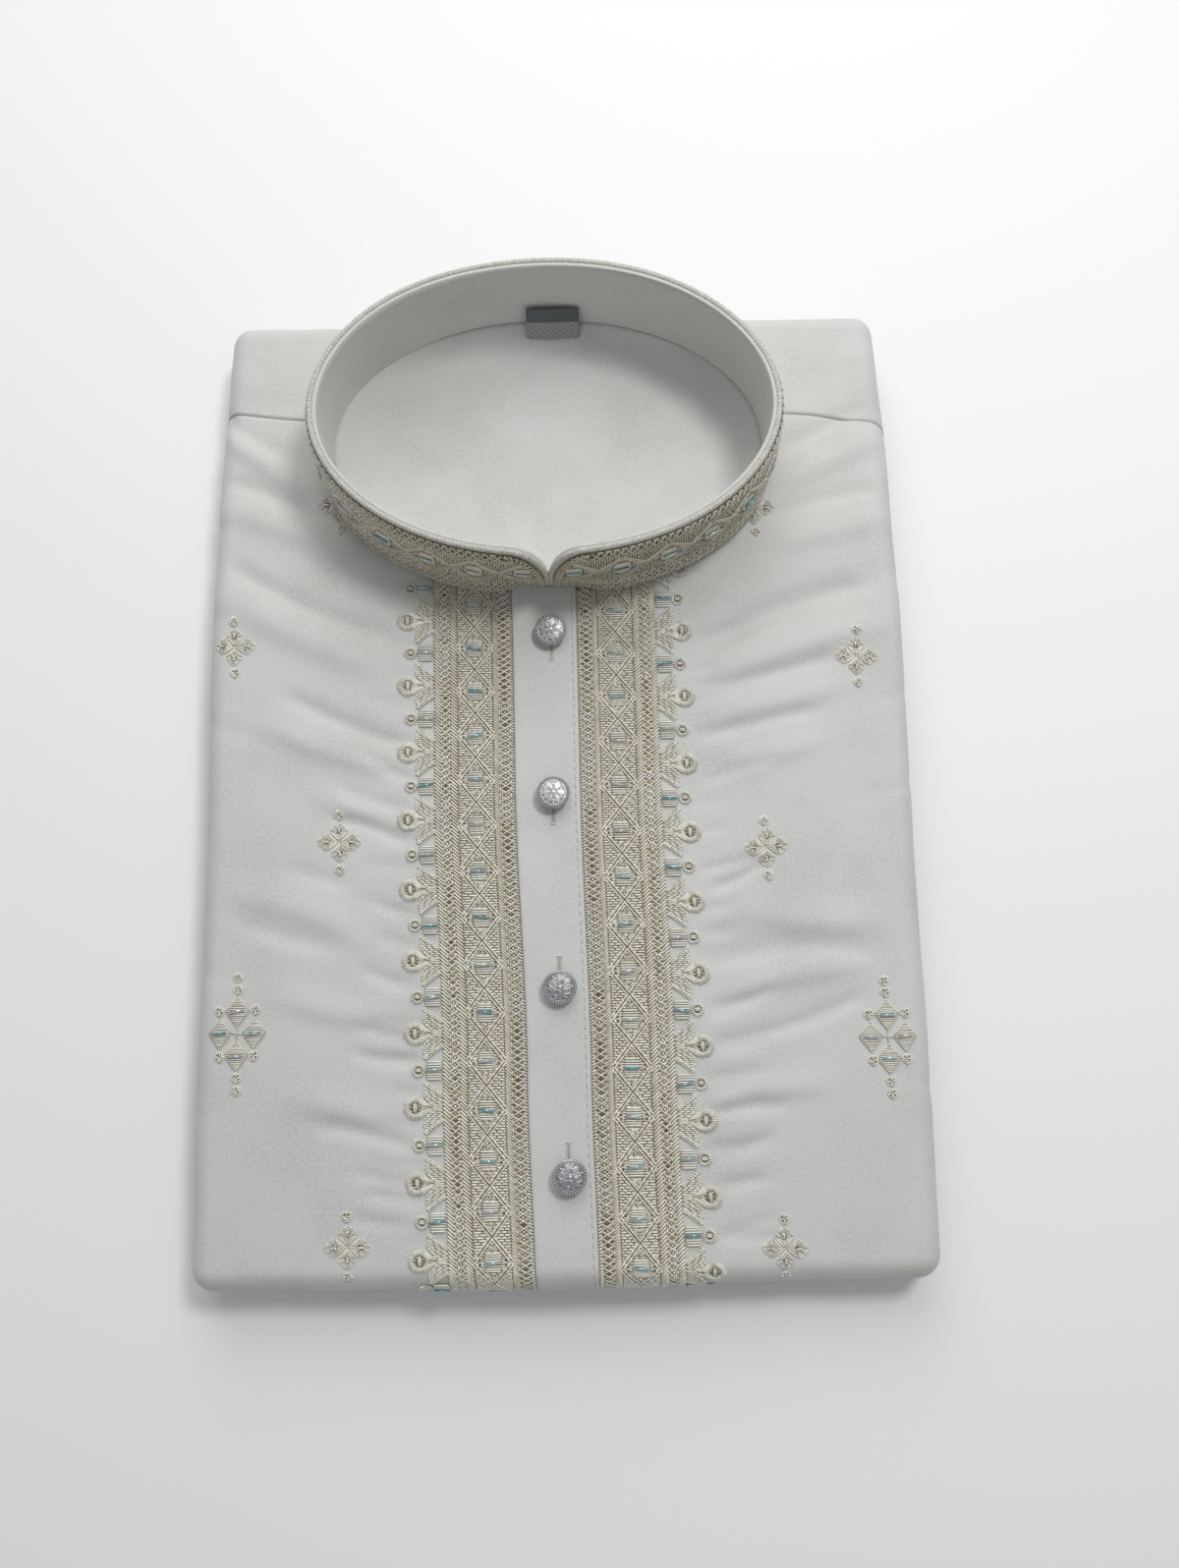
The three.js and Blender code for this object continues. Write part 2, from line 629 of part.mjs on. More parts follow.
BUTTONS.forEach((place, index) => {
  const mesh = addPiece(`button_${index + 1}`, button(), metal);
  const rest = clothHeight(place.x, place.y) + SEAM_GAP + PLACKET_WALL + SEAM_GAP;
  mesh.rotation.set(THREE.MathUtils.degToRad(place.tiltX), THREE.MathUtils.degToRad(place.tiltY), 0);
  mesh.position.set(place.x, place.y, rest + BUTTON_SEAT_LIFT);
});

const tab = addPiece('size_tab', sizeTab(), tabCloth);
const tabTilt = THREE.MathUtils.degToRad(TAB.tilt);
const tabTopY = COLLAR_FOOT.y + COLLAR_FOOT.alongHalf - COLLAR_SPAN - TAB.clear;
const tabHalf = TAB.height / 2;
tab.rotation.x = tabTilt;
tab.position.set(TAB.x, tabTopY + Math.sin(tabTilt) * tabHalf, TAB.top - Math.cos(tabTilt) * tabHalf);

export default kurta;
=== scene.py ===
import math
import random

import bmesh
import bpy
import numpy as np
from mathutils import Matrix, Vector


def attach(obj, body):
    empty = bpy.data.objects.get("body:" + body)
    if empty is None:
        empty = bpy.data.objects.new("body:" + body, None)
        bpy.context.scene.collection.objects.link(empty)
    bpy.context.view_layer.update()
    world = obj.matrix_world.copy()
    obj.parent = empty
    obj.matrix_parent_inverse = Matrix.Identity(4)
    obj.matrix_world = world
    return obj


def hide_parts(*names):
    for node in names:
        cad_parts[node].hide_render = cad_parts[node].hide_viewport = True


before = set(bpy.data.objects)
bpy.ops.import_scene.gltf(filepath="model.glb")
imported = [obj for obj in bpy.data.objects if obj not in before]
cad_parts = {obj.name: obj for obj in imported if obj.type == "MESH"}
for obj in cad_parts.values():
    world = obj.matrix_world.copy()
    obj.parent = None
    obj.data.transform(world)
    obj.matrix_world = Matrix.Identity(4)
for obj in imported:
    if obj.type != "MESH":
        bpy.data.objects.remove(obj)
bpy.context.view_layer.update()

# Camera
# Stands where the photograph was taken: almost overhead, a little before the lower fold and turned slightly.
# The place is in metres, and the lens comes from the photograph's focal length in its own pixels.
CAMERA_PLACE = Vector((0.01053, -0.08131, 0.42263))
CAMERA_TILT = math.radians(90 - 79.286)
CAMERA_ROLL = math.radians(-1.135)
FOCAL_LENGTH_PX = 1200
PHOTO_HEIGHT_PX = 1596
SENSOR_MM = 36

camera_data = bpy.data.cameras.new("camera")
camera_data.sensor_width = SENSOR_MM
camera_data.lens = SENSOR_MM * FOCAL_LENGTH_PX / PHOTO_HEIGHT_PX
camera_data.clip_start = 0.01
camera = bpy.data.objects.new("camera", camera_data)
camera.matrix_world = (Matrix.Translation(CAMERA_PLACE) @ Matrix.Rotation(CAMERA_TILT, 4, "X")
                       @ Matrix.Rotation(CAMERA_ROLL, 4, "Z"))
bpy.context.scene.collection.objects.link(camera)
bpy.context.scene.camera = camera

# Folded layers
# The back, the sleeves and the skirt, folded behind the front: three fat folds of two plies each, in
# off-white crepe. Their round edges show all round the pack, which lies flat on the lowest one. From here
# on, sizes are in millimetres.
PACK_TOP = 171.5
PACK_BOTTOM = -169.9
PACK_MIDDLE = (PACK_TOP + PACK_BOTTOM) / 2
ROLL_REACH = 8
SIDES = [(-170, 121.8), (-110, 122.8), (-40, 122.3), (50, 123.7), (106, 122.6), (149, 120.8), (172, 119.8)]
SIDE_MEAN = 122.5
OUTLINE_CORNER_POINTS = 17
# For each ply: its height above the surface, its thickness and how far it stands in
PLIES = [(0, 2.7, 1.6), (2.7, 2.5, 0.9), (5.2, 2.4, 0.3), (7.6, 2.4, 0.9), (10, 2.6, 2.1), (12.6, 3.2, 3.0)]
PLY_ROUND = (-72, -42, 0, 42, 72)
PLY_INSET = 0.9
PLY_WAVE = 0.7
PLY_STEPS = 420
PLY_INSET_LIMIT = ROLL_REACH - 0.5
PLIES_TOP = 20
PLIES_TOP_INSET = ROLL_REACH - 1


def ease(value, low, high):
    share = np.clip((value - low) / (high - low), 0, 1)
    return share * share * (3 - 2 * share)


def eased_table(rows, at):
    keys = np.array([row[0] for row in rows], float)
    values = np.array([row[1] for row in rows], float)
    at = np.clip(at, keys[0], keys[-1])
    low = np.clip(np.searchsorted(keys, at, side="right") - 1, 0, len(rows) - 2)
    return values[low] + (values[low + 1] - values[low]) * ease(at, keys[low], keys[low + 1])


def wander(x, y, seed):
    """A smooth uneven wave over the cloth, between about -1 and 1."""
    slow = np.sin(x * 0.043 + seed * 1.7) * np.cos(y * 0.037 - seed)
    middle = np.sin(x * 0.11 - y * 0.093 + seed * 2.3)
    quick = np.sin(y * 0.17 + x * 0.05 + seed * 0.7)
    return (slow + middle * 0.5 + quick * 0.3) / 1.5


def pack_outline(share, inset):
    """Places on the pack's round-cornered outline, drawn in by an inset; share runs once round it, 0 to 1."""
    steps = np.arange(4 * OUTLINE_CORNER_POINTS)
    corner = steps // OUTLINE_CORNER_POINTS
    angles = (steps % OUTLINE_CORNER_POINTS / (OUTLINE_CORNER_POINTS - 1) + corner) * math.pi / 2
    middle_x = np.where((corner == 0) | (corner == 3), 1, -1) * (SIDE_MEAN - ROLL_REACH)
    middle_y = np.where(corner < 2, 1, -1) * ((PACK_TOP - PACK_BOTTOM) / 2 - ROLL_REACH)
    angles = np.append(angles, 2 * math.pi)
    middle_x = np.append(middle_x, middle_x[0])
    middle_y = np.append(middle_y, middle_y[0])
    runs = np.hypot(np.diff(middle_x + ROLL_REACH * np.cos(angles)),
                    np.diff(middle_y + ROLL_REACH * np.sin(angles)))
    lengths = np.append(0, np.cumsum(runs)) / runs.sum()
    angle = np.interp(share, lengths, angles)
    y = PACK_MIDDLE + np.interp(share, lengths, middle_y) + (ROLL_REACH - inset) * np.sin(angle)
    x = np.interp(share, lengths, middle_x) + (ROLL_REACH - inset) * np.cos(angle)
    return x * eased_table(SIDES, y) / SIDE_MEAN, y


def move_points(bm, places):
    for vert, place in zip(bm.verts, places):
        vert.co = place


def bent_grid(columns, rows, place, size=(1, 1)):
    """A grid whose points, at shares 0 to 1 across and along, are moved to place(across, along). Its UV map
    is in tenths of a metre, from its flat size in millimetres."""
    bm = bmesh.new()
    bmesh.ops.create_grid(bm, x_segments=columns, y_segments=rows, size=1)
    shares = (np.array([vert.co.xy for vert in bm.verts]) + 1) / 2
    across = {vert: share for vert, share in zip(bm.verts, shares)}
    uv = bm.loops.layers.uv.new("cloth")
    for face in bm.faces:
        for loop in face.loops:
            loop[uv].uv = (across[loop.vert][0] * size[0] / 100, across[loop.vert][1] * size[1] / 100)
    move_points(bm, place(shares[:, 0], shares[:, 1]))
    return bm


def ride_mesh(mesh, material):
    """A smooth piece of one material that rides with the pack."""
    mesh.materials.append(material)
    mesh.polygons.foreach_set("use_smooth", [True] * len(mesh.polygons))
    piece = bpy.data.objects.new(mesh.name, mesh)
    bpy.context.scene.collection.objects.link(piece)
    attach(piece, "root")
    return piece


def finish_piece(name, bm, material):
    """The finished piece in metres, from a mesh made in millimetres."""
    bmesh.ops.scale(bm, vec=(0.001, 0.001, 0.001), verts=bm.verts)
    mesh = bpy.data.meshes.new(name)
    bm.to_mesh(mesh)
    bm.free()
    return ride_mesh(mesh, material)


def new_node(material, kind, **settings):
    made = material.node_tree.nodes.new(kind)
    for key, value in settings.items():
        if key[0].isupper():
            made.inputs[key.replace("_", " ")].default_value = value
        else:
            setattr(made, key, value)
    return made


def wire(material, source, target):
    material.node_tree.links.new(source, target)


def new_material(name, colour, roughness, **sockets):
    material = bpy.data.materials.new(name)
    material.use_nodes = True
    shader = material.node_tree.nodes["Principled BSDF"]
    shader.inputs["Base Color"].default_value = (*colour, 1)
    shader.inputs["Roughness"].default_value = roughness
    for key, value in sockets.items():
        shader.inputs[key.replace("_", " ")].default_value = value
    return material, shader


def coordinates(material, kind):
    return new_node(material, "ShaderNodeTexCoord").outputs[kind]


def texture(material, kind, where, **settings):
    """A noise or wave pattern, laid out by the given coordinates."""
    made = new_node(material, "ShaderNodeTex" + kind, **settings)
    wire(material, where, made.inputs["Vector"])
    return made.outputs["Fac"]


def reckon(material, operation, *values):
    """The result of a sum on numbers and patterns."""
    made = new_node(material, "ShaderNodeMath", operation=operation)
    for socket, value in zip(made.inputs, values):
        if isinstance(value, float):
            socket.default_value = value
        else:
            wire(material, value, socket)
    return made.outputs["Value"]


def tint(material, shader, source, stops):
    """Colours the surface by a pattern's value, from colours at places on a ramp."""
    ramp = new_node(material, "ShaderNodeValToRGB")
    for index, (place, colour) in enumerate(stops):
        if index < 2:
            stop = ramp.color_ramp.elements[index]
            stop.position = place
        else:
            stop = ramp.color_ramp.elements.new(place)
        stop.color = (*colour, 1)
    wire(material, source, ramp.inputs["Fac"])
    wire(material, ramp.outputs["Color"], shader.inputs["Base Color"])


def emboss(material, shader, source, strength, distance):
    """Raises a pattern in the surface's light and shade."""
    bump = new_node(material, "ShaderNodeBump", Strength=strength, Distance=distance)
    wire(material, source, bump.inputs["Height"])
    wire(material, bump.outputs["Normal"], shader.inputs["Normal"])


def crepe_material(name, light, dark, kind):
    """Fine off-white crepe: a close weave with tiny uneven grains, matt with a soft sheen."""
    material, shader = new_material(name, light, 0.78, Sheen_Weight=0.15, Sheen_Roughness=0.45,
                                    Specular_IOR_Level=0.3)
    where = coordinates(material, kind)
    unit = 1 if kind == "UV" else 10
    clouds = texture(material, "Noise", where, Scale=2.6 * unit, Detail=4.0)
    grains = texture(material, "Noise", where, Scale=95.0 * unit, Detail=2.0, Roughness=0.6)
    warp = texture(material, "Wave", where, bands_direction="X", Scale=74.0 * unit, Distortion=1.6)
    weft = texture(material, "Wave", where, bands_direction="Y", Scale=66.0 * unit, Distortion=1.6)
    mottle = reckon(material, "MULTIPLY_ADD", grains, 0.9, clouds)
    tint(material, shader, mottle, [(0.68, dark), (1.2, light)])
    weave = reckon(material, "MULTIPLY", warp, weft)
    relief = reckon(material, "MULTIPLY_ADD", grains, 3.2, weave)
    emboss(material, shader, relief, 0.22, 0.00016)
    return material


CREPE_LIGHT = (0.628, 0.628, 0.605)
CREPE_DARK = (0.545, 0.546, 0.522)
crepe = crepe_material("crepe", CREPE_LIGHT, CREPE_DARK, "UV")
layer_crepe = crepe_material("layer_crepe", CREPE_LIGHT, CREPE_DARK, "Object")


def ply_rings():
    """Inset, height and ply of each ring of the folded edges, from the flat underside up."""
    widest = math.sin(math.radians(PLY_ROUND[-1]))
    rings = []
    for ply, (low, thick, inset) in enumerate(PLIES):
        for degrees in PLY_ROUND:
            angle = math.radians(degrees)
            rings.append((inset + PLY_INSET + thick / 2 * (1 - math.cos(angle)),
                          low + thick / 2 * (1 + math.sin(angle) / widest), ply))
    rings.append((PLIES_TOP_INSET, PLIES_TOP, len(PLIES)))
    return np.array(rings)


def place_plies(across, along):
    rings = ply_rings()
    level = np.rint(along * (len(rings) - 1)).astype(int)
    inset, height, ply = rings[level].T
    x, y = pack_outline(across, 0)
    inset = np.minimum(inset + PLY_WAVE * wander(x, y, ply * 3.1), PLY_INSET_LIMIT)
    x, y = pack_outline(across, inset)
    return np.stack([x, y, height], -1)


def close_ends(bm, seam):
    """Joins a grid that meets itself, fills its two open ends and turns its faces outwards."""
    bmesh.ops.remove_doubles(bm, verts=bm.verts, dist=seam)
    bmesh.ops.holes_fill(bm, edges=[edge for edge in bm.edges if edge.is_boundary])
    bmesh.ops.recalc_face_normals(bm, faces=bm.faces)


bm = bent_grid(PLY_STEPS, len(ply_rings()) - 1, place_plies)
close_ends(bm, 0.001)
folded_layers = finish_piece("folded_layers", bm, layer_crepe)
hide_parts("folded_body")

# Front and yoke
# The front of the body and the shoulders, two cuts of crepe sewn at the shoulder seams. They wrap over the
# pack's edges in a soft roll and are cut out round the neck, and they keep the creases that folding has
# pressed in.
PACK_HEIGHT = 27
ROLL_DROP = 11.5
ROLL_TURN = math.radians(96)
ROLL_LENGTH = 16.5
CROWN_ACROSS = 1.2
CROWN_ALONG = 0.8
FLAT_HALF = (PACK_TOP - PACK_BOTTOM) / 2 - ROLL_REACH
CLOTH_THICK = 0.5
CLOTH_WAVE = 0.25
NECK_X = -2
# The oval of the collar's foot: its middle along the pack, and half its size across and along
COLLAR_FOOT = (117.2, 79.5, 52)
COLLAR_SPAN = 3
NECK_CUT = (0.9, 1.12)
SHOULDER_SEAM = [(-140, 136), (-80, 130), (80, 129.6), (140, 123.6)]
YOKE_LIFT = 0.25
# Each crease: from x, y to x, y, half width, height (a trough is negative), and how far its middle bows
CREASES = [
    (-118, 125, -88, 102, 5.5, 1.5, 1), (-118, 96, -74, 77, 6.5, 1.4, -2), (-116, 63, -62, 37, 7.5, 1.7, 2),
    (-98, 15, -60, 1, 5.5, 1.4, 1), (-80, -10, -60, -17, 4.5, 1.1, 0), (-108, -41, -66, -58, 6.5, 1.1, -2),
    (-92, -77, -58, -84, 5, 1.0, 1), (-86, -110, -58, -117, 5, 1.0, -1), (86, 104, 116, 119, 5.5, 1.4, 0),
    (78, 80, 116, 89, 6, 1.2, 1), (58, 31, 112, 48, 7, 2.0, -2), (60, 18, 98, 27, 5.5, 1.3, 1),
    (60, -2, 88, 7, 5, 1.1, 0), (60, -50, 104, -55, 6, 1.2, 2), (60, -76, 96, -70, 5, 1.1, -1),
    (60, -109, 84, -108, 4.5, 0.9, 0), (-122, 134, -98, 116, 3.2, -1.1, 1),
    (-118, 107, -77, 86, 3.0, -1.0, -2), (-114, 74, -58, 47, 3.4, -1.6, 3), (-93, 26, -56, 9, 2.8, -1.5, 1),
    (-68, 6, -54, -2, 2.0, -0.7, 0), (-75, -6, -56, -13, 2.2, -0.8, 1), (-76, -17, -53, -25, 2.0, -1.2, -1),
    (-91, -34, -72, -40, 2.6, -0.7, 0), (-64, -45, -53, -50, 1.9, -0.7, 0),
    (-108, -51, -77, -60, 4.2, -0.9, 1), (-66, -68, -52, -74, 2.0, -0.8, 0),
    (-67, -87, -51, -91, 1.9, -0.8, 0), (-68, -95, -50, -98, 1.9, -1.1, 1),
    (-80, -118, -50, -125, 2.6, -0.9, -1), (-68, -133, -49, -137, 2.2, -0.7, 0),
    (-68, -147, -49, -150, 2.2, -0.7, 0), (82, 115, 112, 131, 3.2, -1.0, 0),
    (75, 89, 114, 99, 3.0, -0.8, -1), (50, 40, 110, 64, 4.6, -2.3, -3), (50, 27, 96, 37, 2.6, -1.0, 1),
    (50, 8, 88, 18, 2.8, -1.0, -1), (50, -6, 73, 1, 2.2, -0.8, 0), (52, -43, 70, -34, 2.0, -1.2, 1),
    (48, -66, 104, -65, 4.2, -0.9, -2), (50, -85, 70, -77, 2.2, -0.8, 0), (50, -94, 99, -80, 2.6, -1.0, 2),
    (48, -105, 66, -103, 2.0, -0.7, 0), (47, -116, 72, -114, 2.2, -0.8, 0),
    (47, -127, 67, -124, 2.0, -0.8, 1), (50, -138, 66, -137, 2.0, -0.6, 0),
    (50, -155, 69, -155, 2.0, -0.6, 0),
]
# Troughs that run on over the rolled edges, and those on the shoulders behind the collar
EDGE_CREASES = [
    (-133, 20, -104, 12, 3.2, -1.0, 0), (-133, -64, -108, -70, 3.6, -0.9, 1),
    (-133, -118, -112, -112, 3.0, -0.8, 0), (-133, 88, -110, 92, 3.2, -0.9, 0),
    (104, -12, 133, -4, 3.4, -1.0, 1), (106, -104, 133, -112, 3.2, -0.9, 0),
    (108, 70, 133, 66, 3.0, -0.8, 0), (104, 20, 133, 26, 3.4, -0.7, 0),
    (-90, -182, -84, -160, 3.4, -0.8, 0), (-22, -184, -26, -168, 3.0, -0.6, 0),
    (34, -184, 36, -170, 3.0, -0.6, 0), (82, -182, 76, -162, 3.6, -0.8, 1),
    (-74, 184, -82, 160, 3.4, -0.9, 1), (-16, 184, -12, 172, 3.0, -0.6, 0),
    (58, 184, 66, 164, 3.4, -0.8, -1), (-118, 148, -92, 141, 4.5, 0.8, 0), (88, 146, 118, 154, 4.5, 0.8, 0),
    (-100, 168, -84, 176, 3.4, -0.7, 0),
]
# Puckers that the stiff embroidery pulls in the cloth beside it
PUCKER_PITCH = 11.8
PUCKER_START = 58
PUCKER_COUNT = 19
PUCKER_EDGES = (-50, 46)
PUCKER_DRIFT = -0.02
PUCKER_STRAY = 2.5
PUCKER_REACH = (8, 19)
PUCKER_SLOPE = (0.05, 0.3)
PUCKER_WIDTH = (1.6, 2.4)
PUCKER_DEPTH = (0.3, 0.75)
CREASE_DEPTH = 1.25
EDGE_DEPTH = 0.35
# How steep a crease's two flanks are, as shares of its half width
FLANKS = (0.72, 1.15)

random.seed(11)
for index in range(PUCKER_COUNT):
    for edge in PUCKER_EDGES:
        y = PUCKER_START - PUCKER_PITCH * index + random.uniform(-PUCKER_STRAY, PUCKER_STRAY)
        start = edge + PUCKER_DRIFT * (y - PUCKER_START)
        reach = math.copysign(random.uniform(*PUCKER_REACH), edge)
        rise = random.uniform(*PUCKER_SLOPE) * abs(reach)
        CREASES.append((start, y, start + reach, y + rise, random.uniform(*PUCKER_WIDTH),
                        -random.uniform(*PUCKER_DEPTH), 0))


def crease_line(x, y, ends, taper):
    """Each place's way along a crease and off it, the crease's length, and how it fades at its ends."""
    from_x, from_y, to_x, to_y = ends
    run_x = to_x - from_x
    run_y = to_y - from_y
    length = math.hypot(run_x, run_y)
    along = ((x - from_x) * run_x + (y - from_y) * run_y) / length
    off = ((x - from_x) * run_y - (y - from_y) * run_x) / length
    taper = min(taper, length / 2)
    fade = ease(along, -taper, taper) * (1 - ease(along, length - taper, length + taper))
    return along, off, length, fade


def crease_lift(x, y):
    """How far the creases raise the cloth; one flank of each is steeper than the other."""
    total = CLOTH_WAVE * wander(x, y, 5)
    for index, (*ends, width, height, bow) in enumerate(CREASES + EDGE_CREASES):
        along, off, length, fade = crease_line(x, y, ends, width * 2)
        share = np.clip(along / length, 0, 1)
        off = off - bow * 4 * share * (1 - share)
        flank = np.where(off > 0, width * FLANKS[0], width * FLANKS[1])
        depth = CREASE_DEPTH if index < len(CREASES) else EDGE_DEPTH
        total = total + depth * height * fade * np.exp(-(off / flank) ** 2)
    return total


def on_pack(x, y, lift=0.0):
    """Places on the cloth that wraps the pack, from its flat plan; its edges run on round the roll."""
    from_middle = y - PACK_MIDDLE
    flat_y = np.clip(from_middle, -FLAT_HALF, FLAT_HALF)
    over_y = (from_middle - flat_y) / ROLL_LENGTH
    edge_x = eased_table(SIDES, PACK_MIDDLE + flat_y) - ROLL_REACH
    flat_x = np.clip(x, -edge_x, edge_x)
    over_x = (x - flat_x) / ROLL_LENGTH
    over = np.maximum(np.hypot(over_x, over_y), 1e-9)
    turn = np.maximum(np.abs(over_x), np.abs(over_y)) * ROLL_TURN
    normal = np.stack([over_x / over * ROLL_DROP * np.sin(turn), over_y / over * ROLL_DROP * np.sin(turn),
                       ROLL_REACH * np.cos(turn)], -1)
    normal /= np.linalg.norm(normal, axis=-1, keepdims=True)
    crown = CROWN_ACROSS * (flat_x / edge_x) ** 2 + CROWN_ALONG * (flat_y / FLAT_HALF) ** 2
    height = PACK_HEIGHT - crown - ROLL_DROP * (1 - np.cos(turn))
    out = ROLL_REACH * np.sin(turn) / over
    base = np.stack([flat_x + over_x * out, PACK_MIDDLE + flat_y + over_y * out, height], -1)
    return base + normal * (crease_lift(x, y) + lift)[..., None]


def seam_at(x):
    return eased_table(SHOULDER_SEAM, x)


def panel_place(low_end, high_end):
    """Where a panel's grid points go: from side to side round both rolls, between two ends given by x."""
    def place(across, along):
        guess = low_end(0.0) + (high_end(0.0) - low_end(0.0)) * along
        flat_y = np.clip(guess, PACK_MIDDLE - FLAT_HALF, PACK_MIDDLE + FLAT_HALF)
        reach = eased_table(SIDES, flat_y) - ROLL_REACH + ROLL_LENGTH
        x = (2 * across - 1) * reach
        y = low_end(x) + (high_end(x) - low_end(x)) * along
        return np.stack([x, y, 0 * x], -1)
    return place


def cut_neck(bm):
    """Cuts the neck hole out of a panel that still lies flat, and draws the cut onto a clean oval."""
    middle, half_across, half_along = COLLAR_FOOT
    half = np.array([half_across - COLLAR_SPAN, half_along - COLLAR_SPAN])
    inside = [face for face in bm.faces
              if np.linalg.norm((np.array(face.calc_center_median().xy) - (NECK_X, middle)) / half) < 1]
    bmesh.ops.delete(bm, geom=inside, context="FACES")
    for vert in bm.verts:
        away = (np.array(vert.co.xy) - (NECK_X, middle)) / half
        distance = np.linalg.norm(away)
        if vert.is_boundary and NECK_CUT[0] < distance < NECK_CUT[1] and abs(vert.co.x) < half[0]:
            near_seam = abs(vert.co.y - seam_at(vert.co.x)) < 0.05
            if not near_seam:
                vert.co.x = NECK_X + away[0] / distance * half[0]
                vert.co.y = middle + away[1] / distance * half[1]


def wrap_flat(bm, lift):
    """Lays a mesh that is still flat onto the pack."""
    points = np.array([vert.co for vert in bm.verts])
    move_points(bm, on_pack(points[:, 0], points[:, 1], np.full(len(points), lift)))
    bmesh.ops.recalc_face_normals(bm, faces=bm.faces)


def cloth_wall(piece, thick, offset=-1):
    """Gives a sheet the thickness of its cloth, in millimetres, behind its face."""
    wall = piece.modifiers.new("cloth", "SOLIDIFY")
    wall.thickness = thick / 1000
    wall.offset = offset


def wrapped_panel(name, columns, rows, low_end, high_end, size, lift=0.0):
    bm = bent_grid(columns, rows, panel_place(low_end, high_end), size)
    cut_neck(bm)
    wrap_flat(bm, lift)
    piece = finish_piece(name, bm, crepe)
    cloth_wall(piece, CLOTH_THICK)
    return piece


def lower_end(x):
    return PACK_MIDDLE - ROLL_END + 0 * x


def upper_end(x):
    return PACK_MIDDLE + ROLL_END + 0 * x


ROLL_END = FLAT_HALF + ROLL_LENGTH
PANEL_WIDTH = 2 * (SIDE_MEAN - ROLL_REACH + ROLL_LENGTH)
# The sizes by which the weave is laid out on the front and on the shoulders
FRONT_WEAVE = (PANEL_WIDTH, ROLL_END + 130)
YOKE_WEAVE = (PANEL_WIDTH, 50)
front = wrapped_panel("front", 164, 196, lower_end, seam_at, FRONT_WEAVE)
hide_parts("front_panel")
shoulders = wrapped_panel("shoulders", 150, 34, seam_at, upper_end, YOKE_WEAVE, YOKE_LIFT)
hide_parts("yoke")

# Inside of the back
# The back of the kurta as the neck hole shows it from inside: one plain sheet of the same crepe, lying loose
# on the folded layers, with soft diagonal creases. Its edges run out of sight under the front and the collar.
BACK_HEIGHT = 21.8
BACK_HALF = (76.85, 49.3)
BACK_TUCK = 0.07
BACK_FILLET = 0.24
BACK_SEAM_RISE = 3.2
# Each crease: from x, y to x, y, half width and height
BACK_CREASES = [
    (-60, 88, -12, 128, 7, 1.4), (-38, 78, 24, 116, 9, -1.1), (6, 74, 52, 112, 6, 1.3),
    (-50, 118, 0, 146, 6, 1.1), (10, 120, 44, 146, 8, -1.0), (-70, 104, -40, 112, 5, -0.9),
    (48, 96, 66, 128, 6, 1.0), (-20, 96, -8, 70, 5, 0.9),
]


def cloth_height(x, y):
    """The height of the pack's cloth under a place, also where it starts to roll down behind the collar."""
    from_middle = y - PACK_MIDDLE
    flat_y = np.clip(from_middle, -FLAT_HALF, FLAT_HALF)
    turn = np.arcsin(np.clip(np.abs(from_middle - flat_y) / ROLL_REACH, 0, 1))
    return on_pack(x, PACK_MIDDLE + flat_y)[..., 2] - ROLL_DROP * (1 - np.cos(turn))


def place_back(across, along):
    """A round sheet from a square grid, by drawing each square ring of the grid out onto an oval. Its front
    half tucks in under the front, and its back half curves up to the seam at the collar's foot."""
    across = 2 * across - 1
    along = 2 * along - 1
    out_x = across * np.sqrt(1 - along ** 2 / 2)
    out_y = along * np.sqrt(1 - across ** 2 / 2)
    sewn = ease(out_y, -0.95, -0.7)
    reach = 1 + BACK_TUCK * (1 - sewn)
    x = NECK_X + BACK_HALF[0] * reach * out_x
    y = COLLAR_FOOT[0] + BACK_HALF[1] * reach * out_y
    creased = np.zeros(len(x))
    for *ends, width, rise in BACK_CREASES:
        _, off, _, fade = crease_line(x, y, ends, width)
        creased += rise * fade * np.exp(-(off / width) ** 2)
    out = np.hypot(out_x, out_y)
    curve = sewn * np.clip((out - 1 + BACK_FILLET) / BACK_FILLET, 0, 1) ** 2
    seam = cloth_height(x, y) + BACK_SEAM_RISE
    height = (BACK_HEIGHT + creased) * (1 - curve) + seam * curve
    return np.stack([x, y, height], -1)


bm = bent_grid(90, 72, place_back, (2 * BACK_HALF[0], 2 * BACK_HALF[1]))
bmesh.ops.recalc_face_normals(bm, faces=bm.faces)
inside_back = finish_piece("inside_back", bm, crepe)
cloth_wall(inside_back, CLOTH_THICK)
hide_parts("back_panel")

# Collar
# A stiff standing band of two cloths over interfacing, sewn round the neck. It meets at the front in two
# round corners, and a twisted cord of off-white yarn is sewn along its rim and down both front ends.
COLLAR_RIM = (116, 79, 53.5)
RIM_HEIGHT = 62
RIM_WAVE = 0.35
COLLAR_BULGE = 0.8
COLLAR_CLOTH = 1.2
COLLAR_GAP = 0.4
CORNER_RUN = 13
CORNER_DROP = 27
# The share of the collar's flat rectangle that its round corners leave
CORNER_CROWDING = 0.75
FOOT_FLARE = 3.2
SEAM_GAP = 0.3
PIPING_DEPTH = 0.9
PIPING_RADIUS = 1.0
PIPING_SINK = 0.35
PIPING_TWIST = 1.35
PIPING_RIB = 0.13
PIPING_STEPS = 1500

ARC_ANGLES = np.linspace(0, 2 * math.pi, 2001)
arc_steps = np.hypot(np.diff(COLLAR_FOOT[1] * np.sin(ARC_ANGLES)),
                     np.diff(COLLAR_FOOT[2] * np.cos(ARC_ANGLES)))
ARC_LENGTHS = np.append(0, np.cumsum(arc_steps))
COLLAR_LENGTH = ARC_LENGTHS[-1]
COLLAR_HEIGHT = RIM_HEIGHT - PACK_HEIGHT


